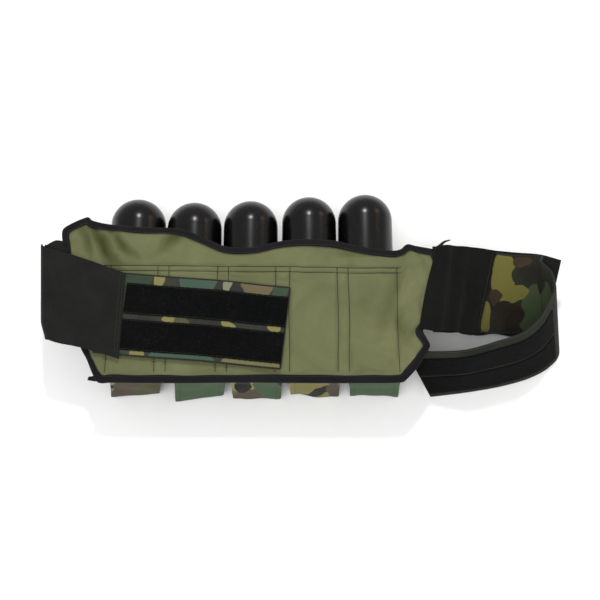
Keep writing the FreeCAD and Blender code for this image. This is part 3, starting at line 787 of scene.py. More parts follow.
def liner_height(x, y, edge):
    """Height of the liner's outer face. Edge is the distance to the panel's edge."""
    calm = 1 - 0.75 * smooth_step(-x, 60, 130) * smooth_step(-y, -110, -90)
    puff = 1.4 * smooth_step(edge, 8, 26) + 0.7 * waves(x, y, 3, 70) + 0.4 * waves(x, y, 8, 26)
    creases = 0.8 * bump(y - 101 - 1.2 * np.sin(x / 8), 1.6) * smooth_step(x, 104, 124)
    creases += 0.6 * bump(y - 97 - 1.5 * np.sin(x / 11 + 1), 1.5) * smooth_step(x, 118, 140)
    creases *= smooth_step(-x, -172, -160)
    creases -= (1.6 * bump(x + 84 - 0.9 * (y - 112), 6.0)
                * smooth_step(y, 96, 106) * smooth_step(-y, -128, -120))
    creases -= (1.2 * bump(x - 20 + 1.4 * (y - 104), 6.0)
                * smooth_step(y, 94, 102) * smooth_step(-y, -112, -106))
    folds = 1.5 * smooth_step(x, 168, 178) * waves(x * 1.3, y * 0.6, 21, 30)
    dips = 2.4 * seam_dips(x, y)
    return LINER_HIGH - 0.4 + (puff + creases + folds) * calm - dips + corner_lift(x, y)


def edge_rings(inset, hidden_inset=None):
    """The panel's edge moved inward, as a closed line with the same number of points at any inset."""
    corners = np.array(LOWER_EDGE[:-1] + RIGHT_EDGE[:-1] + UPPER_EDGE[:-1] + LEFT_EDGE[:-1], dtype=float)
    if hidden_inset is not None:
        inset = np.full((len(corners), 1), inset)
        inset[len(LOWER_EDGE) + 3:len(LOWER_EDGE) + 6] = hidden_inset
    first = unit(corners - np.roll(corners, 1, axis=0))
    second = unit(np.roll(corners, -1, axis=0) - corners)
    normal = np.stack([-(first + second)[:, 1], (first + second)[:, 0]], axis=1)
    normal = normal / (1 + np.sum(first * second, axis=1, keepdims=True))
    return smooth_runs(corners + normal * inset, closed=True)


def panel_grid(inset, columns, rows):
    """Points over the whole panel, between four edge lines, each moved in by the inset."""
    ring = edge_rings(inset)
    corner = np.cumsum([0] + [(len(run) - 1) * RUN_STEPS
                              for run in (LOWER_EDGE, RIGHT_EDGE, UPPER_EDGE, LEFT_EDGE)])
    ring = np.vstack([ring, ring[:1]])
    lower = spaced(ring[corner[0]:corner[1] + 1], columns)
    right = spaced(ring[corner[1]:corner[2] + 1], rows)
    upper = spaced(ring[corner[2]:corner[3] + 1], columns)[::-1]
    left = spaced(ring[corner[3]:corner[4] + 1], rows)[::-1]
    u = np.linspace(0, 1, columns)[:, None, None]
    v = np.linspace(0, 1, rows)[None, :, None]
    flat = (1 - v) * lower[:, None] + v * upper[:, None] + (1 - u) * left[None] + u * right[None]
    flat -= (1 - u) * (1 - v) * lower[0] + u * (1 - v) * lower[-1]
    flat -= (1 - u) * v * upper[0] + u * v * upper[-1]
    return flat


def edge_distance(flat, inset):
    """Rough distance from each grid point to the panel's edge."""
    reach = np.linalg.norm(flat - flat[:, :1], axis=2)
    back = np.linalg.norm(flat - flat[:, -1:], axis=2)
    side = np.minimum(np.linalg.norm(flat - flat[:1], axis=2), np.linalg.norm(flat - flat[-1:], axis=2))
    return np.minimum(np.minimum(reach, back), side) + inset


def with_height(flat, height):
    return np.concatenate([flat, height[..., None]], axis=2)


def settle_liner(start, held):
    """Lets the liner's cloth find its own puckers between the lines where it is held down."""
    rows, columns = start.shape[:2]
    mesh = bpy.data.meshes.new("liner_trial")
    mesh.from_pydata((start.reshape(-1, 3) * MM).tolist(), [], grid_faces(rows, columns))
    trial = bpy.data.objects.new("liner_trial", mesh)
    bpy.context.scene.collection.objects.link(trial)
    pins = trial.vertex_groups.new(name="held")
    for index, share in enumerate(held.ravel()):
        if share > 0.02:
            pins.add([index], float(share), "REPLACE")
    cloth = trial.modifiers.new("settle", "CLOTH")
    cloth.settings.quality = 6
    cloth.settings.mass = 0.25
    cloth.settings.tension_stiffness = 30
    cloth.settings.compression_stiffness = 30
    cloth.settings.bending_stiffness = 2.0
    cloth.settings.vertex_group_mass = "held"
    cloth.settings.shrink_min = -0.035
    cloth.settings.use_pressure = True
    cloth.settings.uniform_pressure_force = 0.6
    cloth.settings.effector_weights.gravity = 0.0
    cloth.collision_settings.use_collision = False
    cloth.point_cache.frame_end = 20
    scene = bpy.context.scene
    for step in range(1, 21):
        scene.frame_set(step)
    view = trial.evaluated_get(bpy.context.evaluated_depsgraph_get())
    settled = np.empty(len(view.data.vertices) * 3)
    view.data.vertices.foreach_get("co", settled)
    settled = settled.reshape(start.shape) / MM
    scene.frame_set(1)
    bpy.data.objects.remove(trial)
    return settled


def refine(grid, columns, rows):
    """The same field of numbers on a finer grid."""
    old_rows = np.linspace(0, 1, grid.shape[0])
    old_columns = np.linspace(0, 1, grid.shape[1])
    half = np.stack([np.interp(np.linspace(0, 1, columns), old_rows, grid[:, place])
                     for place in range(grid.shape[1])], axis=1)
    return np.stack([np.interp(np.linspace(0, 1, rows), old_columns, half[place])
                     for place in range(columns)], axis=0)


def liner_puckers(columns, rows):
    """The cloth's own puckers as heights on a fine grid, at most a few millimetres."""
    flat = panel_grid(PANEL_INSET, 181, 75)
    x, y = flat[..., 0], flat[..., 1]
    edge = edge_distance(flat, PANEL_INSET)
    start = with_height(flat, LINER_HIGH + 0.3 * waves(x, y, 5, 30))
    held = np.clip(seam_dips(x, y) * 1.4 + (1 - smooth_step(edge, 8, 13)), 0, 1)
    rise = settle_liner(start, held)[..., 2] - start[..., 2]
    for _ in range(2):
        rise = (rise + np.roll(rise, 1, 0) + np.roll(rise, -1, 0)
                + np.roll(rise, 1, 1) + np.roll(rise, -1, 1)) / 5
    rise = np.clip(rise, -1.0, 1.8) * (1 - np.clip(held, 0, 1))
    pressed = smooth_step(-x, -40, -30) * smooth_step(-above_elastic(x, y), -6, 2)
    return refine(rise * (1 - 0.8 * pressed), columns, rows)


def make_liner():
    """The olive cloth on the wearer's side. Gives back the height of its outer face."""
    columns, rows = 331, 143
    flat = panel_grid(PANEL_INSET, columns, rows)
    x, y = flat[..., 0], flat[..., 1]
    edge = edge_distance(flat, PANEL_INSET)
    pinch = 1.0 * (1 - smooth_step(edge, 8, 15))
    height = liner_height(x, y, edge) - pinch + liner_puckers(columns, rows)
    lifted = corner_lift(x, y)
    ceiling = BELT_LOW + 2.0 - 4.4 * under_belt(x, y)
    height = np.minimum(height, ceiling + lifted)
    height = np.maximum(height, FOAM_HIGH - 1.2 + CLOTH + lifted)
    middle = with_height(flat, height - CLOTH / 2)
    liner = add_cloth("panel_liner_cloth", middle, CLOTH, LINER_CLOTH, soft_edge=1.0)
    join_up(liner, "root", "liner", "panel_liner")
    return height


def make_face():
    """The cloth that the pockets are sewn to."""
    face_flat = panel_grid(PANEL_INSET, 121, 53)
    fx, fy = face_flat[..., 0], face_flat[..., 1]
    face_lift = corner_lift(fx, fy)
    face_z = FACE_LOW + CLOTH / 2 + face_lift + 0.15 * (1 + waves(fx, fy, 11, 40))
    face_middle = with_height(face_flat, face_z)
    face = add_cloth("panel_face_cloth", face_middle, CLOTH, FACE_CAMO, soft_edge=1.0)
    join_up(face, "root", "face_cloth", "panel_face")


def make_foam(height):
    """The padding, which fills the room below the liner."""
    pad_flat = panel_grid(PANEL_INSET, 241, 104)
    px, py = pad_flat[..., 0], pad_flat[..., 1]
    pad_low = with_height(pad_flat, FOAM_LOW + corner_lift(px, py) + 0.4)
    pad_top = refine(height, 241, 104) - CLOTH - 0.15
    pad_high = with_height(pad_flat, np.maximum(pad_top, pad_low[..., 2] + 0.3))
    pad = add_slab("panel_foam_pad", pad_high, pad_low, FOAM_FINISH)
    join_up(pad, "root", "foam", "panel_foam")


TAPE_SECTION = [
    (1.0, 0.97), (0.9, 1.0), (0.45, 1.02), (0.15, 1.0), (0.0, 0.82), (-0.06, 0.5), (0.0, 0.18),
    (0.15, 0.0), (0.45, -0.02), (0.9, 0.0), (1.0, 0.02), (1.0, 0.14), (0.3, 0.15), (0.1, 0.3),
    (0.08, 0.5), (0.1, 0.7), (0.3, 0.85), (1.0, 0.85)]
TAPE_ENDS = {
    "lower_left": [((-162.5, -35.5, 70.5), (-162.5, -42.5, 70.3)), ((-166.5, -36, 70.3), (-167, -42.2, 70.1)),
                   ((-170, -36.8, 70), (-171, -41.6, 69.8)), ((-173.5, -37.4, 69.4), (-174, -41, 69.3))],
    "upper_right": [((208, 108.5, 75.4), (210, 104, 75.4)), ((215, 112.5, 76), (217, 109.5, 76)),
                    ((221, 117, 76.6), (222.5, 115, 76.6)), ((228.5, 119, 76), (229, 118, 76))]}


def make_binding():
    """The tape folded over the panel's edge. Each section point is (share inward, share upward)."""
    outer = edge_rings(0.3)
    inner = edge_rings(BINDING_WIDTH, HIDDEN_WIDTH)
    count = len(outer)
    reach = np.concatenate([[0], np.cumsum(np.linalg.norm(np.diff(outer, axis=0), axis=1))])
    wander = 0.06 * waves(reach, reach * 0, 31, 60)
    pucker = 0.25 * np.sin(reach / 2.9) * (0.5 + 0.5 * waves(reach, reach * 0, 33, 50))
    tall = BINDING_HIGH - BINDING_LOW
    points = np.empty((count, len(TAPE_SECTION), 3))
    for place, (share, up) in enumerate(TAPE_SECTION):
        share_now = share * (1 + wander * (share > 0.8))
        spot = outer + (inner - outer) * share_now[:, None]
        lift = corner_lift(spot[:, 0], spot[:, 1])
        rise = pucker * (0.5 < up) * (share > 0.1) * (share < 0.95)
        points[:, place, :2] = spot
        pressed = elastic_press(spot[:, 0], spot[:, 1]) * max(up, 0.0)
        points[:, place, 2] = BINDING_LOW + tall * up + lift + rise - pressed
    across = len(TAPE_SECTION)
    faces = []
    for row in range(count):
        other = (row + 1) % count
        for column in range(across):
            beside = (column + 1) % across
            faces.append((row * across + column, row * across + beside,
                          other * across + beside, other * across + column))
    around = np.array([abs(share) * BINDING_WIDTH + up * 3 for share, up in TAPE_SECTION])
    uv = np.stack([np.repeat(reach, across), np.tile(around, count)], axis=1) * MM
    tape = add_mesh("edge_binding", points.reshape(-1, 3), faces, TAPE_FINISH, uv=uv, sharp=60)
    join_up(tape, "root", "binding", "panel_binding")
    sew_binding(outer + (inner - outer) * 0.83)


def sew_binding(seam):
    seam = np.vstack([seam, seam[:1]])
    z = BINDING_HIGH + 0.1 + corner_lift(seam[:, 0], seam[:, 1]) - elastic_press(seam[:, 0], seam[:, 1])
    line = np.concatenate([seam, z[:, None]], axis=1)
    ups = np.tile([0.0, 0.0, 1.0], (len(line), 1))
    thread = add_stitches("binding_stitches", [(line, ups)], THREAD_DARK)
    join_up(thread, "root", "binding")


def make_tape_ends():
    """The two stray ends of the binding tape."""
    for name, lie in TAPE_ENDS.items():
        line = spaced(smooth_runs(lie), 14)
        share = np.linspace(0, 1, 5)[None, :, None]
        grid = line[:, :1] * (1 - share) + line[:, 1:] * share
        end = add_cloth(f"tape_end_{name}", grid, TAPE, TAPE_FINISH)
        join_up(end, "root", "binding")


def make_seams(height):
    """The stitching that makes the pods' channels."""
    columns, rows = height.shape
    flat = panel_grid(PANEL_INSET, columns, rows)

    def lay_on_liner(line):
        ups = np.tile([0.0, 0.0, 1.0], (len(line), 1))
        z = []
        for x, y in line:
            near = np.abs(flat[..., 0] - x) + np.abs(flat[..., 1] - y)
            z.append(height.ravel()[near.argmin()])
        z = np.convolve(np.pad(z, 2, mode="edge"), np.ones(5) / 5, mode="valid")
        return np.concatenate([line, (z + 0.12)[:, None]], axis=1), ups

    lines = []
    for x in seam_lines():
        top = float(cross_seam_y(x)) + 5.5
        y = np.linspace(-32, top, 60)
        wander = x + 0.5 * np.sin(y / 17 + x)
        lines.append(lay_on_liner(np.stack([wander, y], axis=1)))
    for gap in (0.0, SEAM_GAP):
        x = np.linspace(-162, 172, 130)
        lines.append(lay_on_liner(np.stack([x, cross_seam_y(x) + gap + 0.3 * np.sin(x / 23)], axis=1)))
    seams = add_stitches("channel_stitches", lines, THREAD_OLIVE)
    join_up(seams, "root", "liner")


# ---------------------------------------------------------------- pockets and flaps

def pocket_line():
    """A pocket seen from its mouth, as points from one flange to the other."""
    round_radius = POD_RADIUS + 0.4 + CLOTH / 2
    seam_x = 27.95
    start = math.asin(seam_x / round_radius)
    side = [(33.0, FACE_LOW - CLOTH / 2), (28.8, FACE_LOW - CLOTH / 2), (seam_x, FACE_LOW - 1.6),
            (seam_x, FACE_LOW - 8)]
    for turn in np.linspace(start, math.pi / 2, 8):
        side.append((round_radius * math.sin(turn), POD_Z + round_radius * math.cos(turn)))
    corner = 18.35
    front_z = 3.45
    for turn in np.linspace(0, math.pi / 2, 9):
        side.append((round_radius - corner + corner * math.cos(turn),
                     front_z + corner - corner * math.sin(turn)))
    side.append((7.0, front_z))
    side.append((0.0, front_z))
    return np.array(side + [(-x, z) for x, z in side[-2::-1]])


def make_pocket(number):
    x0 = POD_X[number - 1]
    section = spaced(pocket_line(), 121)
    for name, node, slot, finish, low, high, seed in (
            ("pocket", f"pocket_{number}", "face_cloth", POCKET_CLOTH, -25.0, 75.0, 40),
            ("pocket_mouth", f"pocket_{number}_mouth", "elastic", MOUTH_FINISH, 75.1, 90.1, 60)):
        y = np.linspace(low, high, 41 if name == "pocket" else 13)
        grid = np.empty((len(y), len(section), 3))
        grid[..., 0] = x0 + section[:, 0]
        grid[..., 1] = y[:, None]
        grid[..., 2] = section[:, 1]
        away = smooth_step(np.abs(section[:, 1] - 36), 8, 20) * smooth_step(-section[:, 1], -62, -50)
        soft = 0.16 * waves(grid[..., 1], section[:, 0] * 1.5 + section[:, 1], seed + number, 22)
        grid += grid_normals(grid) * (soft * away)[..., None]
        piece = add_cloth(f"{name}_{number}_cloth", grid, CLOTH, finish, shift=(13.0 * number, 0.0))
        join_up(piece, "root", slot, node)


# Each flap's foot stands out by (left, right), and it hangs aside by (at its top, at its foot).
FLAP_LEANS = {1: (2.5, -1.5), 2: (8.0, 0.0), 3: (4.5, 4.0), 4: (1.0, 1.5), 5: (0.5, 1.5)}
FLAP_SHIFTS = {1: (11.0, -1.0), 2: (15.0, 7.5), 3: (11.0, 8.0), 4: (5.5, 6.5), 5: (5.0, 9.0)}
FLAP_STITCH_LIFTS = (0.62, -0.62)


def make_flap(number):
    """A flap that hangs from the panel's lower edge, turns under the pod and closes its pocket."""
    x0 = POD_X[number - 1]
    low, high = node_box(f"flap_{number}")
    hinge_y = BINDING_EDGE_Y - 2.3
    foot_y = hinge_y - 5.5
    bend = 9.0
    path = [(hinge_y + 3.5, BINDING_LOW - 0.7), (hinge_y + 0.6, BINDING_LOW - 1.2), (hinge_y - 0.6, 64),
            (hinge_y - 2.0, 48), (hinge_y - 4.0, 28), (foot_y, bend + 4)]
    for turn in np.linspace(0, math.pi / 2, 7):
        path.append((foot_y + bend - bend * math.cos(turn), 0.7 + bend - bend * math.sin(turn)))
    path += [(-20.0, 0.7), (5.0, 0.7), (32.8, 0.7)]
    line = spaced(smooth_runs(path), 110)
    width = (high[0] - low[0]) - 0.4
    across = np.linspace(-0.5, 0.5, 41)
    grid = np.empty((len(line), len(across), 3))
    height = line[:, 1][:, None]
    grid[..., 0] = x0 + across * width
    grid[..., 1] = line[:, 0][:, None]
    grid[..., 2] = height
    hang = smooth_step(height, 0.6, 6) * smooth_step(-height, -68, -50)
    lean_left, lean_right = FLAP_LEANS[number]
    lean = lean_left * (0.5 - across) + lean_right * (0.5 + across)
    grid[..., 1] -= hang * smooth_step(-height, -60, -10) * lean
    top_shift, foot_shift = FLAP_SHIFTS[number]
    hung = np.clip(height / 68.0, 0, 1)
    tucked = smooth_step(grid[..., 1], -38, -10)
    grid[..., 0] += (top_shift * hung + foot_shift * (1 - hung)) * (1 - tucked)
    grid[..., 1] += 1.1 * hang * waves(grid[..., 0], height, 70 + number, 34)
    grid[..., 2] += (0.12 * (1 - smooth_step(height, 0.6, 6))
                     * (1 + waves(grid[..., 0], grid[..., 1], 90, 30)))
    piece = add_cloth(f"flap_{number}_cloth", grid, FLAP, FLAP_FINISHES[number], hem=0.28, hem_width=7.0)
    bend_at = ((x0, hinge_y, BINDING_LOW - 0.2), (x0, hinge_y, BINDING_LOW - 3.5))
    bend_up(piece, "root", f"flap_{number}", *bend_at, "camo", f"flap_{number}")
    normals = grid_normals(grid)
    lines = []
    for column in (4, 36):
        for lift in FLAP_STITCH_LIFTS:
            lines.append(stitch_line(grid[6:-4, column], normals[6:-4, column], lift))
    for lift in FLAP_STITCH_LIFTS:
        lines.append(stitch_line(grid[-5, 4:37], normals[-5, 4:37], lift))
    thread = add_stitches(f"flap_{number}_stitches", lines, THREAD_OLIVE, radius=0.24)
    bend_up(thread, "root", f"flap_{number}", *bend_at, "camo")


FLAP_FINISHES = {
    1: woodland_finish("flap_1_camouflage", [(BROWN, (40, 20), (60, 18), 0), (OLIVE, (30, 45), (50, 17), 8)],
                       move=(0.2, 0.1, 0.0)),
    2: woodland_finish("flap_2_camouflage", [(GREEN, (36, 28), (60, 48), 0), (OLIVE, (60, 3), (10, 6), 0)],
                       move=(0.5, 0.9, 0.0)),
    3: woodland_finish("flap_3_camouflage", [(GREEN, (25, 40), (40, 16), -8), (BROWN, (55, 18), (26, 14), 10),
                                             (BLACK, (18, 12), (22, 9), 0)], move=(0.9, 0.4, 0.0)),
    4: woodland_finish("flap_4_camouflage", [(TAN, (36, 28), (60, 50), 0), (BLACK, (45, 30), (36, 7), 35),
                                             (BROWN, (40, 50), (40, 8), 0)], move=(0.1, 0.6, 0.0)),
    5: woodland_finish("flap_5_camouflage", [(GREEN, (36, 28), (60, 50), 0)], move=(0.7, 0.2, 0.0))}


# ---------------------------------------------------------------- straps

def strap_grid(lie, rows, offset, side):
    """An elastic's surface: its lie smoothed, then moved outward by the offset."""
    edges = spaced(smooth_runs(np.array(lie, dtype=float)), rows)
    share = np.linspace(0, 1, ELASTIC_COLUMNS)[None, :, None]
    grid = edges[:, :1] * (1 - share) + edges[:, 1:] * share
    return grid + grid_normals(grid) * side * offset


def fold_lie():
    """The left elastics: out under the fold, round it, and back over the panel."""
    middle_z = (LEFT_UNDER_Z + BELT_MIDDLE) / 2
    radius = (BELT_MIDDLE - LEFT_UNDER_Z) / 2
    south, north = LEFT_UNDER_FOLD[-1]
    lie = [(a + (LEFT_UNDER_Z,), b + (LEFT_UNDER_Z,)) for a, b in LEFT_UNDER_FOLD]
    for turn in np.linspace(0, math.pi, 7)[1:-1]:
        out = radius * math.sin(turn)
        up = middle_z - radius * math.cos(turn)
        lie.append(((south[0] - out, south[1], up), (north[0] - out, north[1], up)))
    lie += [(a + (BELT_MIDDLE,), b + (BELT_MIDDLE,)) for a, b in LEFT_OVER_FOLD]
    return lie


ELASTIC_OFFSET = BELT / 2 + 0.3 + ELASTIC / 2
LEFT_FOLD = ((-230, 56, 71.6), (-230, 56, 76.9))
LEFT_STRETCH = ((-205, 50, 78), (-150, 46, 78))
RIGHT_SWING = ((206, 60, 71), (215, 60, 70))
RIGHT_STRETCH = ((226, 60, 60), (272, 60, 50))


def make_left_elastics():
    lie = fold_lie()
    for layer, offset, runs in (("outer", ELASTIC_OFFSET, lie), ("inner", -ELASTIC_OFFSET, lie[:-1])):
        rows = 150 if layer == "outer" else 110
        grid = strap_grid(runs, rows, offset, 1)
        middle_x = grid[:, ELASTIC_COLUMNS // 2, 0]
        turned = middle_x.argmin()
        split = turned + np.argmax(middle_x[turned:] > middle_x[turned] + 16)
        reach = grid_reach(grid)
        soft = 0.35 * waves(reach[..., 0], reach[..., 1] * 0.35, 14, 55) * (offset > 0)
        free = smooth_step(grid[..., 0], -232, -222) * (np.arange(rows)[:, None] > turned)
        grid[..., 2] += np.maximum(soft * free, -0.1)
        grid[..., 0] += (4.5 * (1 - smooth_step(grid[..., 1], 2, 26))
                         * (1 - smooth_step(grid[..., 0], -222, -200)))
        strap = grid.copy()
        slip = 1.0 * waves(reach[..., 0], reach[..., 0] * 0, 16, 50)
        edge = np.abs(np.linspace(-1, 1, ELASTIC_COLUMNS)) ** 6
        strap[..., 1] += slip * edge
        fold = strap[:split + 1]
        cover = strap[split:]
        first = add_cloth(f"left_elastic_fold_{layer}", fold, ELASTIC, ELASTIC_FINISH)
        bend_up(first, "root", "left_wing", *LEFT_FOLD, "elastic", f"left_elastic_{layer}")
        start_u = grid_reach(strap)[split, 0, 0]
        second = add_cloth(f"left_elastic_cover_{layer}", cover, ELASTIC, ELASTIC_FINISH,
                           shift=(start_u, 0.0))
        bend_up(second, "left_wing", "left_belt", *LEFT_STRETCH, "elastic")
        if layer == "outer":
            normals = grid_normals(cover)
            lines = [stitch_line(cover[row, 2:-2], normals[row, 2:-2], 0.65) for row in (-4, -8)]
            thread = add_stitches("left_elastic_stitches", lines, THREAD_DARK)
            bend_up(thread, "left_wing", "left_belt", *LEFT_STRETCH, "elastic")


def make_left_belt():
    angle = math.radians(-4.8)
    start = np.array([-224.0, 39.3])
    along_way = np.array([math.cos(angle), math.sin(angle)])
    across_way = np.array([-math.sin(angle), math.cos(angle)])
    half = BELT_WIDTH / 2

    def belt_grid(first, margin, width, rows, columns, z, ragged=0.0, seed=0):
        across = np.linspace(margin, margin + width, columns) - half
        last = 268 - 2.5 / BELT_WIDTH * (half - across)
        share = np.linspace(0, 1, rows)[:, None]
        along = first + (last - first)[None, :] * share
        if ragged:
            reach = along[:, 0]
            rough = ragged * waves(reach, reach * 0, seed, 3.5)
            side = np.abs(np.linspace(-1, 1, columns)) ** 8 * np.sign(np.linspace(-1, 1, columns))
            across = across[None, :] + rough[:, None] * side
        else:
            across = across + 0 * along
        wander = 0.7 * waves(along[:, 0], along[:, 0] * 0, 25, 130)[:, None]
        spot = start + along[..., None] * along_way + (across + wander)[..., None] * across_way
        return with_height(spot, np.full(along.shape, z))

    def soft(grid):
        return 0.35 * (1 + waves(grid[..., 0], grid[..., 1] * 0.5, 27, 60)) * smooth_step(
            grid[..., 0], -150, -110)

    belt = belt_grid(60.0, 0.0, BELT_WIDTH, 150, BELT_COLUMNS, BELT_MIDDLE)
    belt[..., 2] += soft(belt)
    cloth = add_cloth("left_belt_cloth", belt, BELT, LEFT_BELT_CAMO, shift=(60.0, 0.0), soft_edge=0.35)
    join_up(cloth, "left_belt", "camo", "left_belt")
    join_up(add_edging("left_belt_edging", [belt[:, 0], belt[:, -1], belt[-1]]), "left_belt", "binding")
    for (name, margin), seed in zip(STRIP_MARGINS, (51, 52)):
        strip = belt_grid(87.0, margin, STRIP_WIDTH, 220, 27, BELT_HIGH + 0.1 + STRIP / 2, 0.16, seed)
        strip[..., 2] += soft(strip)
        pile = add_cloth(f"left_strip_{name}_pile", strip, STRIP, STRIP_FINISH, soft_edge=0.4)
        join_up(pile, "left_belt", "strip", f"left_strip_{name}")
        normals = np.zeros_like(strip)
        normals[..., 2] = 1
        lines = [stitch_line(strip[2:-2, column], normals[2:-2, column], 0.6) for column in (1, 25)]
        thread = add_stitches(f"left_strip_{name}_stitches", lines, THREAD_DARK, radius=0.3)
        join_up(thread, "left_belt", "strip")


LEFT_BELT_SHAPES = [
    ("293a2c", (98, 95), (17, 22), 0), (TAN, (122, 96), (6, 22), 0), ("3d5244", (165, 95), (21, 22), 0),
    ("7a7a66", (198, 94), (5, 20), 0), ("62573f", (231, 95), (17, 22), 0), ("2c4232", (258, 95), (10, 22), 0),
    (TAN, (139, 43), (6, 5), 0), (OLIVE, (152, 43), (9, 5), 0), (TAN, (203, 43), (9, 5), 12),
    (TAN, (256, 43), (8, 5), 0), ("2c4232", (90, 0), (13, 12), 0), (TAN, (108, 0), (7, 10), 0),
    ("3d5244", (157, 0), (36, 12), 0), ("6a6843", (235, 0), (33, 12), 0)]
LEFT_BELT_CAMO = woodland_finish("left_belt_camouflage", LEFT_BELT_SHAPES, ground="2a2b29")
RIGHT_BELT_SHAPES = [
    ("37442d", (109, 30), (17, 33), 0), ("69642f", (66, 66), (15, 30), 0), ("69642f", (82, 49), (16, 9), 0),
    ("69642f", (46, 14), (7, 22), 0), (BLACK, (102, 74), (27, 15), -12), (BLACK, (117, 64), (9, 12), 0),
    ("3a2c20", (87, 86), (11, 6), 0), ("33271d", (58, 41), (8, 11), 0), ("1d1813", (77, 20), (22, 20), 0),
    ("37442d", (128, 40), (8, 30), 0), ("4c5848", (313, 89), (32, 12), 0), ("2c3a2c", (254, 89), (30, 12), 0),
    ("69642f", (329, 0), (8, 9), 0), ("69642f", (283, 1), (11, 9), 0), ("37442d", (250, 0), (20, 9), 0),
    ("69642f", (212, 0), (11, 8), 0), ("3c3f38", (255, 43.5), (52, 4), 0)]
RIGHT_BELT_CAMO = woodland_finish("right_belt_camouflage", RIGHT_BELT_SHAPES, ground="181c16")
CURL_JOINT = np.array([361.075, 33.0, 37.1])
CURL_WAY = np.array([0.0, -0.78, 0.62])


def narrow_lie(lie, margin, width):
    narrow = []
    for south, north in np.array(lie, dtype=float):
        across = unit(north - south)
        narrow.append((south + across * margin, south + across * (margin + width)))
    return narrow


def make_right_elastics():
    for layer, runs, offset in (("inner", RIGHT_INNER, -ELASTIC_OFFSET),
                                ("outer", RIGHT_ELASTIC, ELASTIC_OFFSET)):
        rows = 90 if layer == "inner" else 170
        # The inner layer wears the darker copy of the elastic, which is painted shade.
        finish = INNER_ELASTIC_SHADED_COPY if layer == "inner" else ELASTIC_FINISH
        grid = strap_grid(runs, rows, offset, -1)
        reach = grid_reach(grid)
        share = reach[..., 0] / reach[-1, 0, 0]
        across = np.linspace(0, 1, ELASTIC_COLUMNS)
        if layer == "inner":
            folds = 3.4 * (bump(share - 0.22, 0.10) + bump(share - 0.50, 0.09)
                           + 0.6 * bump(share - 0.8, 0.1))
            folds = folds * (0.65 + 0.35 * np.sin(across * 3 + 0.5))
            grid += grid_normals(grid) * folds[..., None]
        ripple = np.sin(reach[..., 0] / 8.5 + 0.6) * bump(across, 0.22) * smooth_step(share, 0.1, 0.3)
        grid[..., 1] -= 1.6 * ripple
        if layer == "inner":
            grid[..., 0] -= 2.2 * np.sin(across * math.pi) * (1 - smooth_step(share, 0.0, 0.3))
        split = int(rows * (0.3 if layer == "inner" else 0.1))
        root = grid[:split + 1]
        rest = grid[split:]
        first = add_cloth(f"right_elastic_root_{layer}", root, ELASTIC, finish)
        bend_up(first, "root", "right_wing", *RIGHT_SWING, "elastic", f"right_elastic_{layer}")
        second = add_cloth(f"right_elastic_cover_{layer}", rest, ELASTIC, finish,
                           shift=(reach[split, 0, 0], 0.0), hem=0.25, hem_width=4.0)
        bend_up(second, "right_wing", "right_belt", *RIGHT_STRETCH, "elastic")
        if layer == "inner":
            lines = [stitch_line(rest[-5, 2:-2], grid_normals(rest)[-5, 2:-2], 0.7)]
            thread = add_stitches("right_elastic_stitches", lines, THREAD_DARK)
            bend_up(thread, "right_wing", "right_belt", *RIGHT_STRETCH, "elastic")


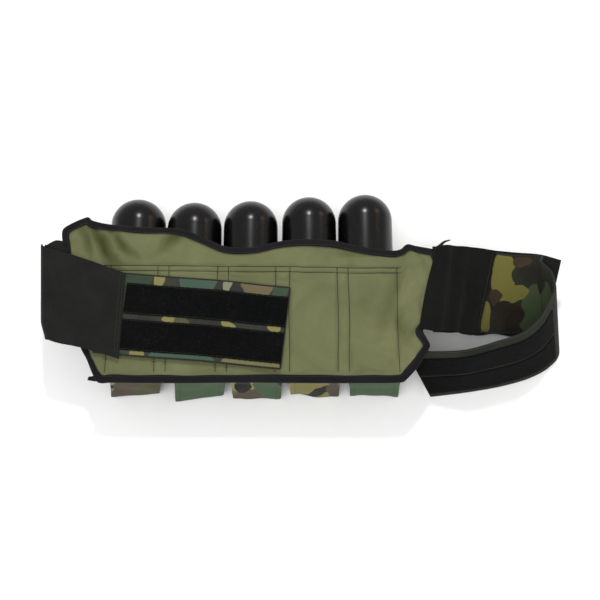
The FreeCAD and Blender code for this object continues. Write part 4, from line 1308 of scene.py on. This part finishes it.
def make_right_belt():
    under = RIGHT_ELASTIC[1:6]
    lie = narrow_lie(under, BELT_INSET, BELT_WIDTH)
    lie += [tuple(np.array(section, float)) for section in RIGHT_CURL + RIGHT_RETURN]
    dense = smooth_runs(np.array(lie), steps=CURL_STEPS)
    start = len(under) * CURL_STEPS
    front = spaced(dense[:start + 1], 110)
    back = spaced(dense[start:], 190)
    share = np.linspace(0, 1, BELT_COLUMNS)[None, :, None]

    def fill(edges):
        return edges[:, :1] * (1 - share) + edges[:, 1:] * share

    front_grid = fill(front)
    reach = grid_reach(front_grid)
    free = smooth_step(front_grid[..., 0], 285, 310) * smooth_step(-front_grid[..., 0], -350, -335)
    front_grid += grid_normals(front_grid) * (0.8 * waves(reach[..., 0], reach[..., 1] * 0.6, 44, 60)
                                              * free)[..., None]
    first = add_cloth("right_belt_cloth", front_grid, BELT, RIGHT_BELT_CAMO, soft_edge=0.35)
    join_up(first, "right_belt", "camo", "right_belt")
    back_grid = fill(back)
    second = add_cloth("belt_return_cloth", back_grid, BELT, RIGHT_BELT_CAMO,
                       shift=(reach[-1, 0, 0], 0.0), soft_edge=0.35)
    bend_at = (tuple(CURL_JOINT - CURL_WAY * 8), tuple(CURL_JOINT + CURL_WAY * 12))
    bend_up(second, "right_belt", "right_belt_end", *bend_at, "camo", "right_belt_end")
    join_up(add_edging("right_belt_edging", [front_grid[:, 0], front_grid[:, -1]]), "right_belt", "binding")
    edging = add_edging("belt_return_edging", [back_grid[:, 0], back_grid[:, -1], back_grid[-1]])
    bend_up(edging, "right_belt", "right_belt_end", *bend_at, "binding")
    strip_start = np.argmin(np.abs(back[:, 0, 0] - 360.0) + np.abs(back[:, 0, 1] + 6.0))
    edges = back[strip_start:]
    out = -grid_normals(fill(edges))
    for (name, margin), seed in zip(RETURN_MARGINS, (53, 54)):
        reach = np.linspace(0, 1, len(edges))
        rough = 0.16 * waves(reach * 240, reach * 0, seed, 3.5)
        low = (margin + rough) / BELT_WIDTH
        high = (margin + RETURN_STRIP_WIDTH + np.roll(rough, 5)) / BELT_WIDTH
        south = edges[:, 0] + (edges[:, 1] - edges[:, 0]) * low[:, None]
        north = edges[:, 0] + (edges[:, 1] - edges[:, 0]) * high[:, None]
        inner_share = np.linspace(0, 1, 21)[None, :, None]
        strip = south[:, None] * (1 - inner_share) + north[:, None] * inner_share
        place = int((margin + RETURN_STRIP_WIDTH / 2) / BELT_WIDTH * (BELT_COLUMNS - 1))
        normal = out[:, place][:, None]
        strip = strip + normal * (BELT / 2 + 0.1 + STRIP / 2)
        pile = add_cloth(f"right_strip_{name}_pile", strip, STRIP, STRIP_FINISH, soft_edge=0.4)
        bend_up(pile, "right_belt", "right_belt_end", *bend_at, "strip", f"right_strip_{name}")


# ---------------------------------------------------------------- pods

def finish_hard_parts():
    for number in PODS:
        for part, finish in (("tube", POD_PLASTIC), ("lid", LID_PLASTIC), ("pin", PIN_STEEL)):
            wear(f"pod_{number}_{part}", finish)
        wear(f"pocket_{number}_loop", LOOP_FINISH)
        wear(f"flap_{number}_hook", HOOK_FINISH)


def wear(node, finish):
    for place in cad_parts[node].material_slots:
        place.material = finish


# ---------------------------------------------------------------- studio

def add_light(name, place, target, power, size, colour=(1, 1, 1)):
    """A round area light. Sizes and places are metres, power is watts."""
    data = bpy.data.lights.new(name, "AREA")
    data.energy = power
    data.color = colour
    data.shape = "DISK"
    data.size = size
    lamp = bpy.data.objects.new(name, data)
    lamp.location = place
    lamp.rotation_euler = (Vector(target) - Vector(place)).to_track_quat("-Z", "Y").to_euler()
    bpy.context.scene.collection.objects.link(lamp)


def add_floor():
    model = bmesh.new()
    bmesh.ops.create_grid(model, x_segments=8, y_segments=8, size=3.0)
    mesh = bpy.data.meshes.new("studio_floor")
    model.to_mesh(mesh)
    model.free()
    mesh.materials.append(floor_finish())
    floor = bpy.data.objects.new("studio_floor", mesh)
    floor.location.z = -0.0004
    bpy.context.scene.collection.objects.link(floor)


CAMERA_DISTANCE = 1.0               # metres from the target
CAMERA_HEIGHT = math.radians(75)    # above the table
CAMERA_LENS = 51.7


def add_camera(target):
    camera_data = bpy.data.cameras.new("camera")
    camera_data.lens = CAMERA_LENS
    camera_data.sensor_width = 36
    camera = bpy.data.objects.new("camera", camera_data)
    way = Vector((0, -math.cos(CAMERA_HEIGHT), math.sin(CAMERA_HEIGHT)))
    camera.location = target + way * CAMERA_DISTANCE
    camera.rotation_euler = (target - camera.location).to_track_quat("-Z", "Y").to_euler()
    bpy.context.scene.collection.objects.link(camera)
    bpy.context.scene.camera = camera


def set_studio():
    add_floor()
    low, high = Vector(cad_box[0]), Vector(cad_box[1])
    target = Vector((low.x + 0.491 * (high.x - low.x), low.y + 0.459 * (high.y - low.y), 0.036))
    add_camera(target)
    world = bpy.data.worlds.new("studio")
    world.use_nodes = True
    world.node_tree.nodes["Background"].inputs["Color"].default_value = (1, 1, 1, 1)
    world.node_tree.nodes["Background"].inputs["Strength"].default_value = 0.72
    bpy.context.scene.world = world
    add_light("key", (0.05, 0.84, 1.27), target, 9, size=0.13)
    add_light("broad", (-0.25, -0.7, 1.75), target, 15, size=1.4)
    add_light("warm_side", (0.95, 0.75, 0.7), target, 0.8, size=0.3, colour=(1.0, 0.72, 0.5))
    bpy.context.scene.view_settings.view_transform = "Standard"


liner_top = make_liner()
make_face()
make_foam(liner_top)
make_seams(liner_top)
make_binding()
make_tape_ends()
for number in PODS:
    make_pocket(number)
    make_flap(number)
make_left_elastics()
make_left_belt()
make_right_elastics()
make_right_belt()
finish_hard_parts()
set_studio()
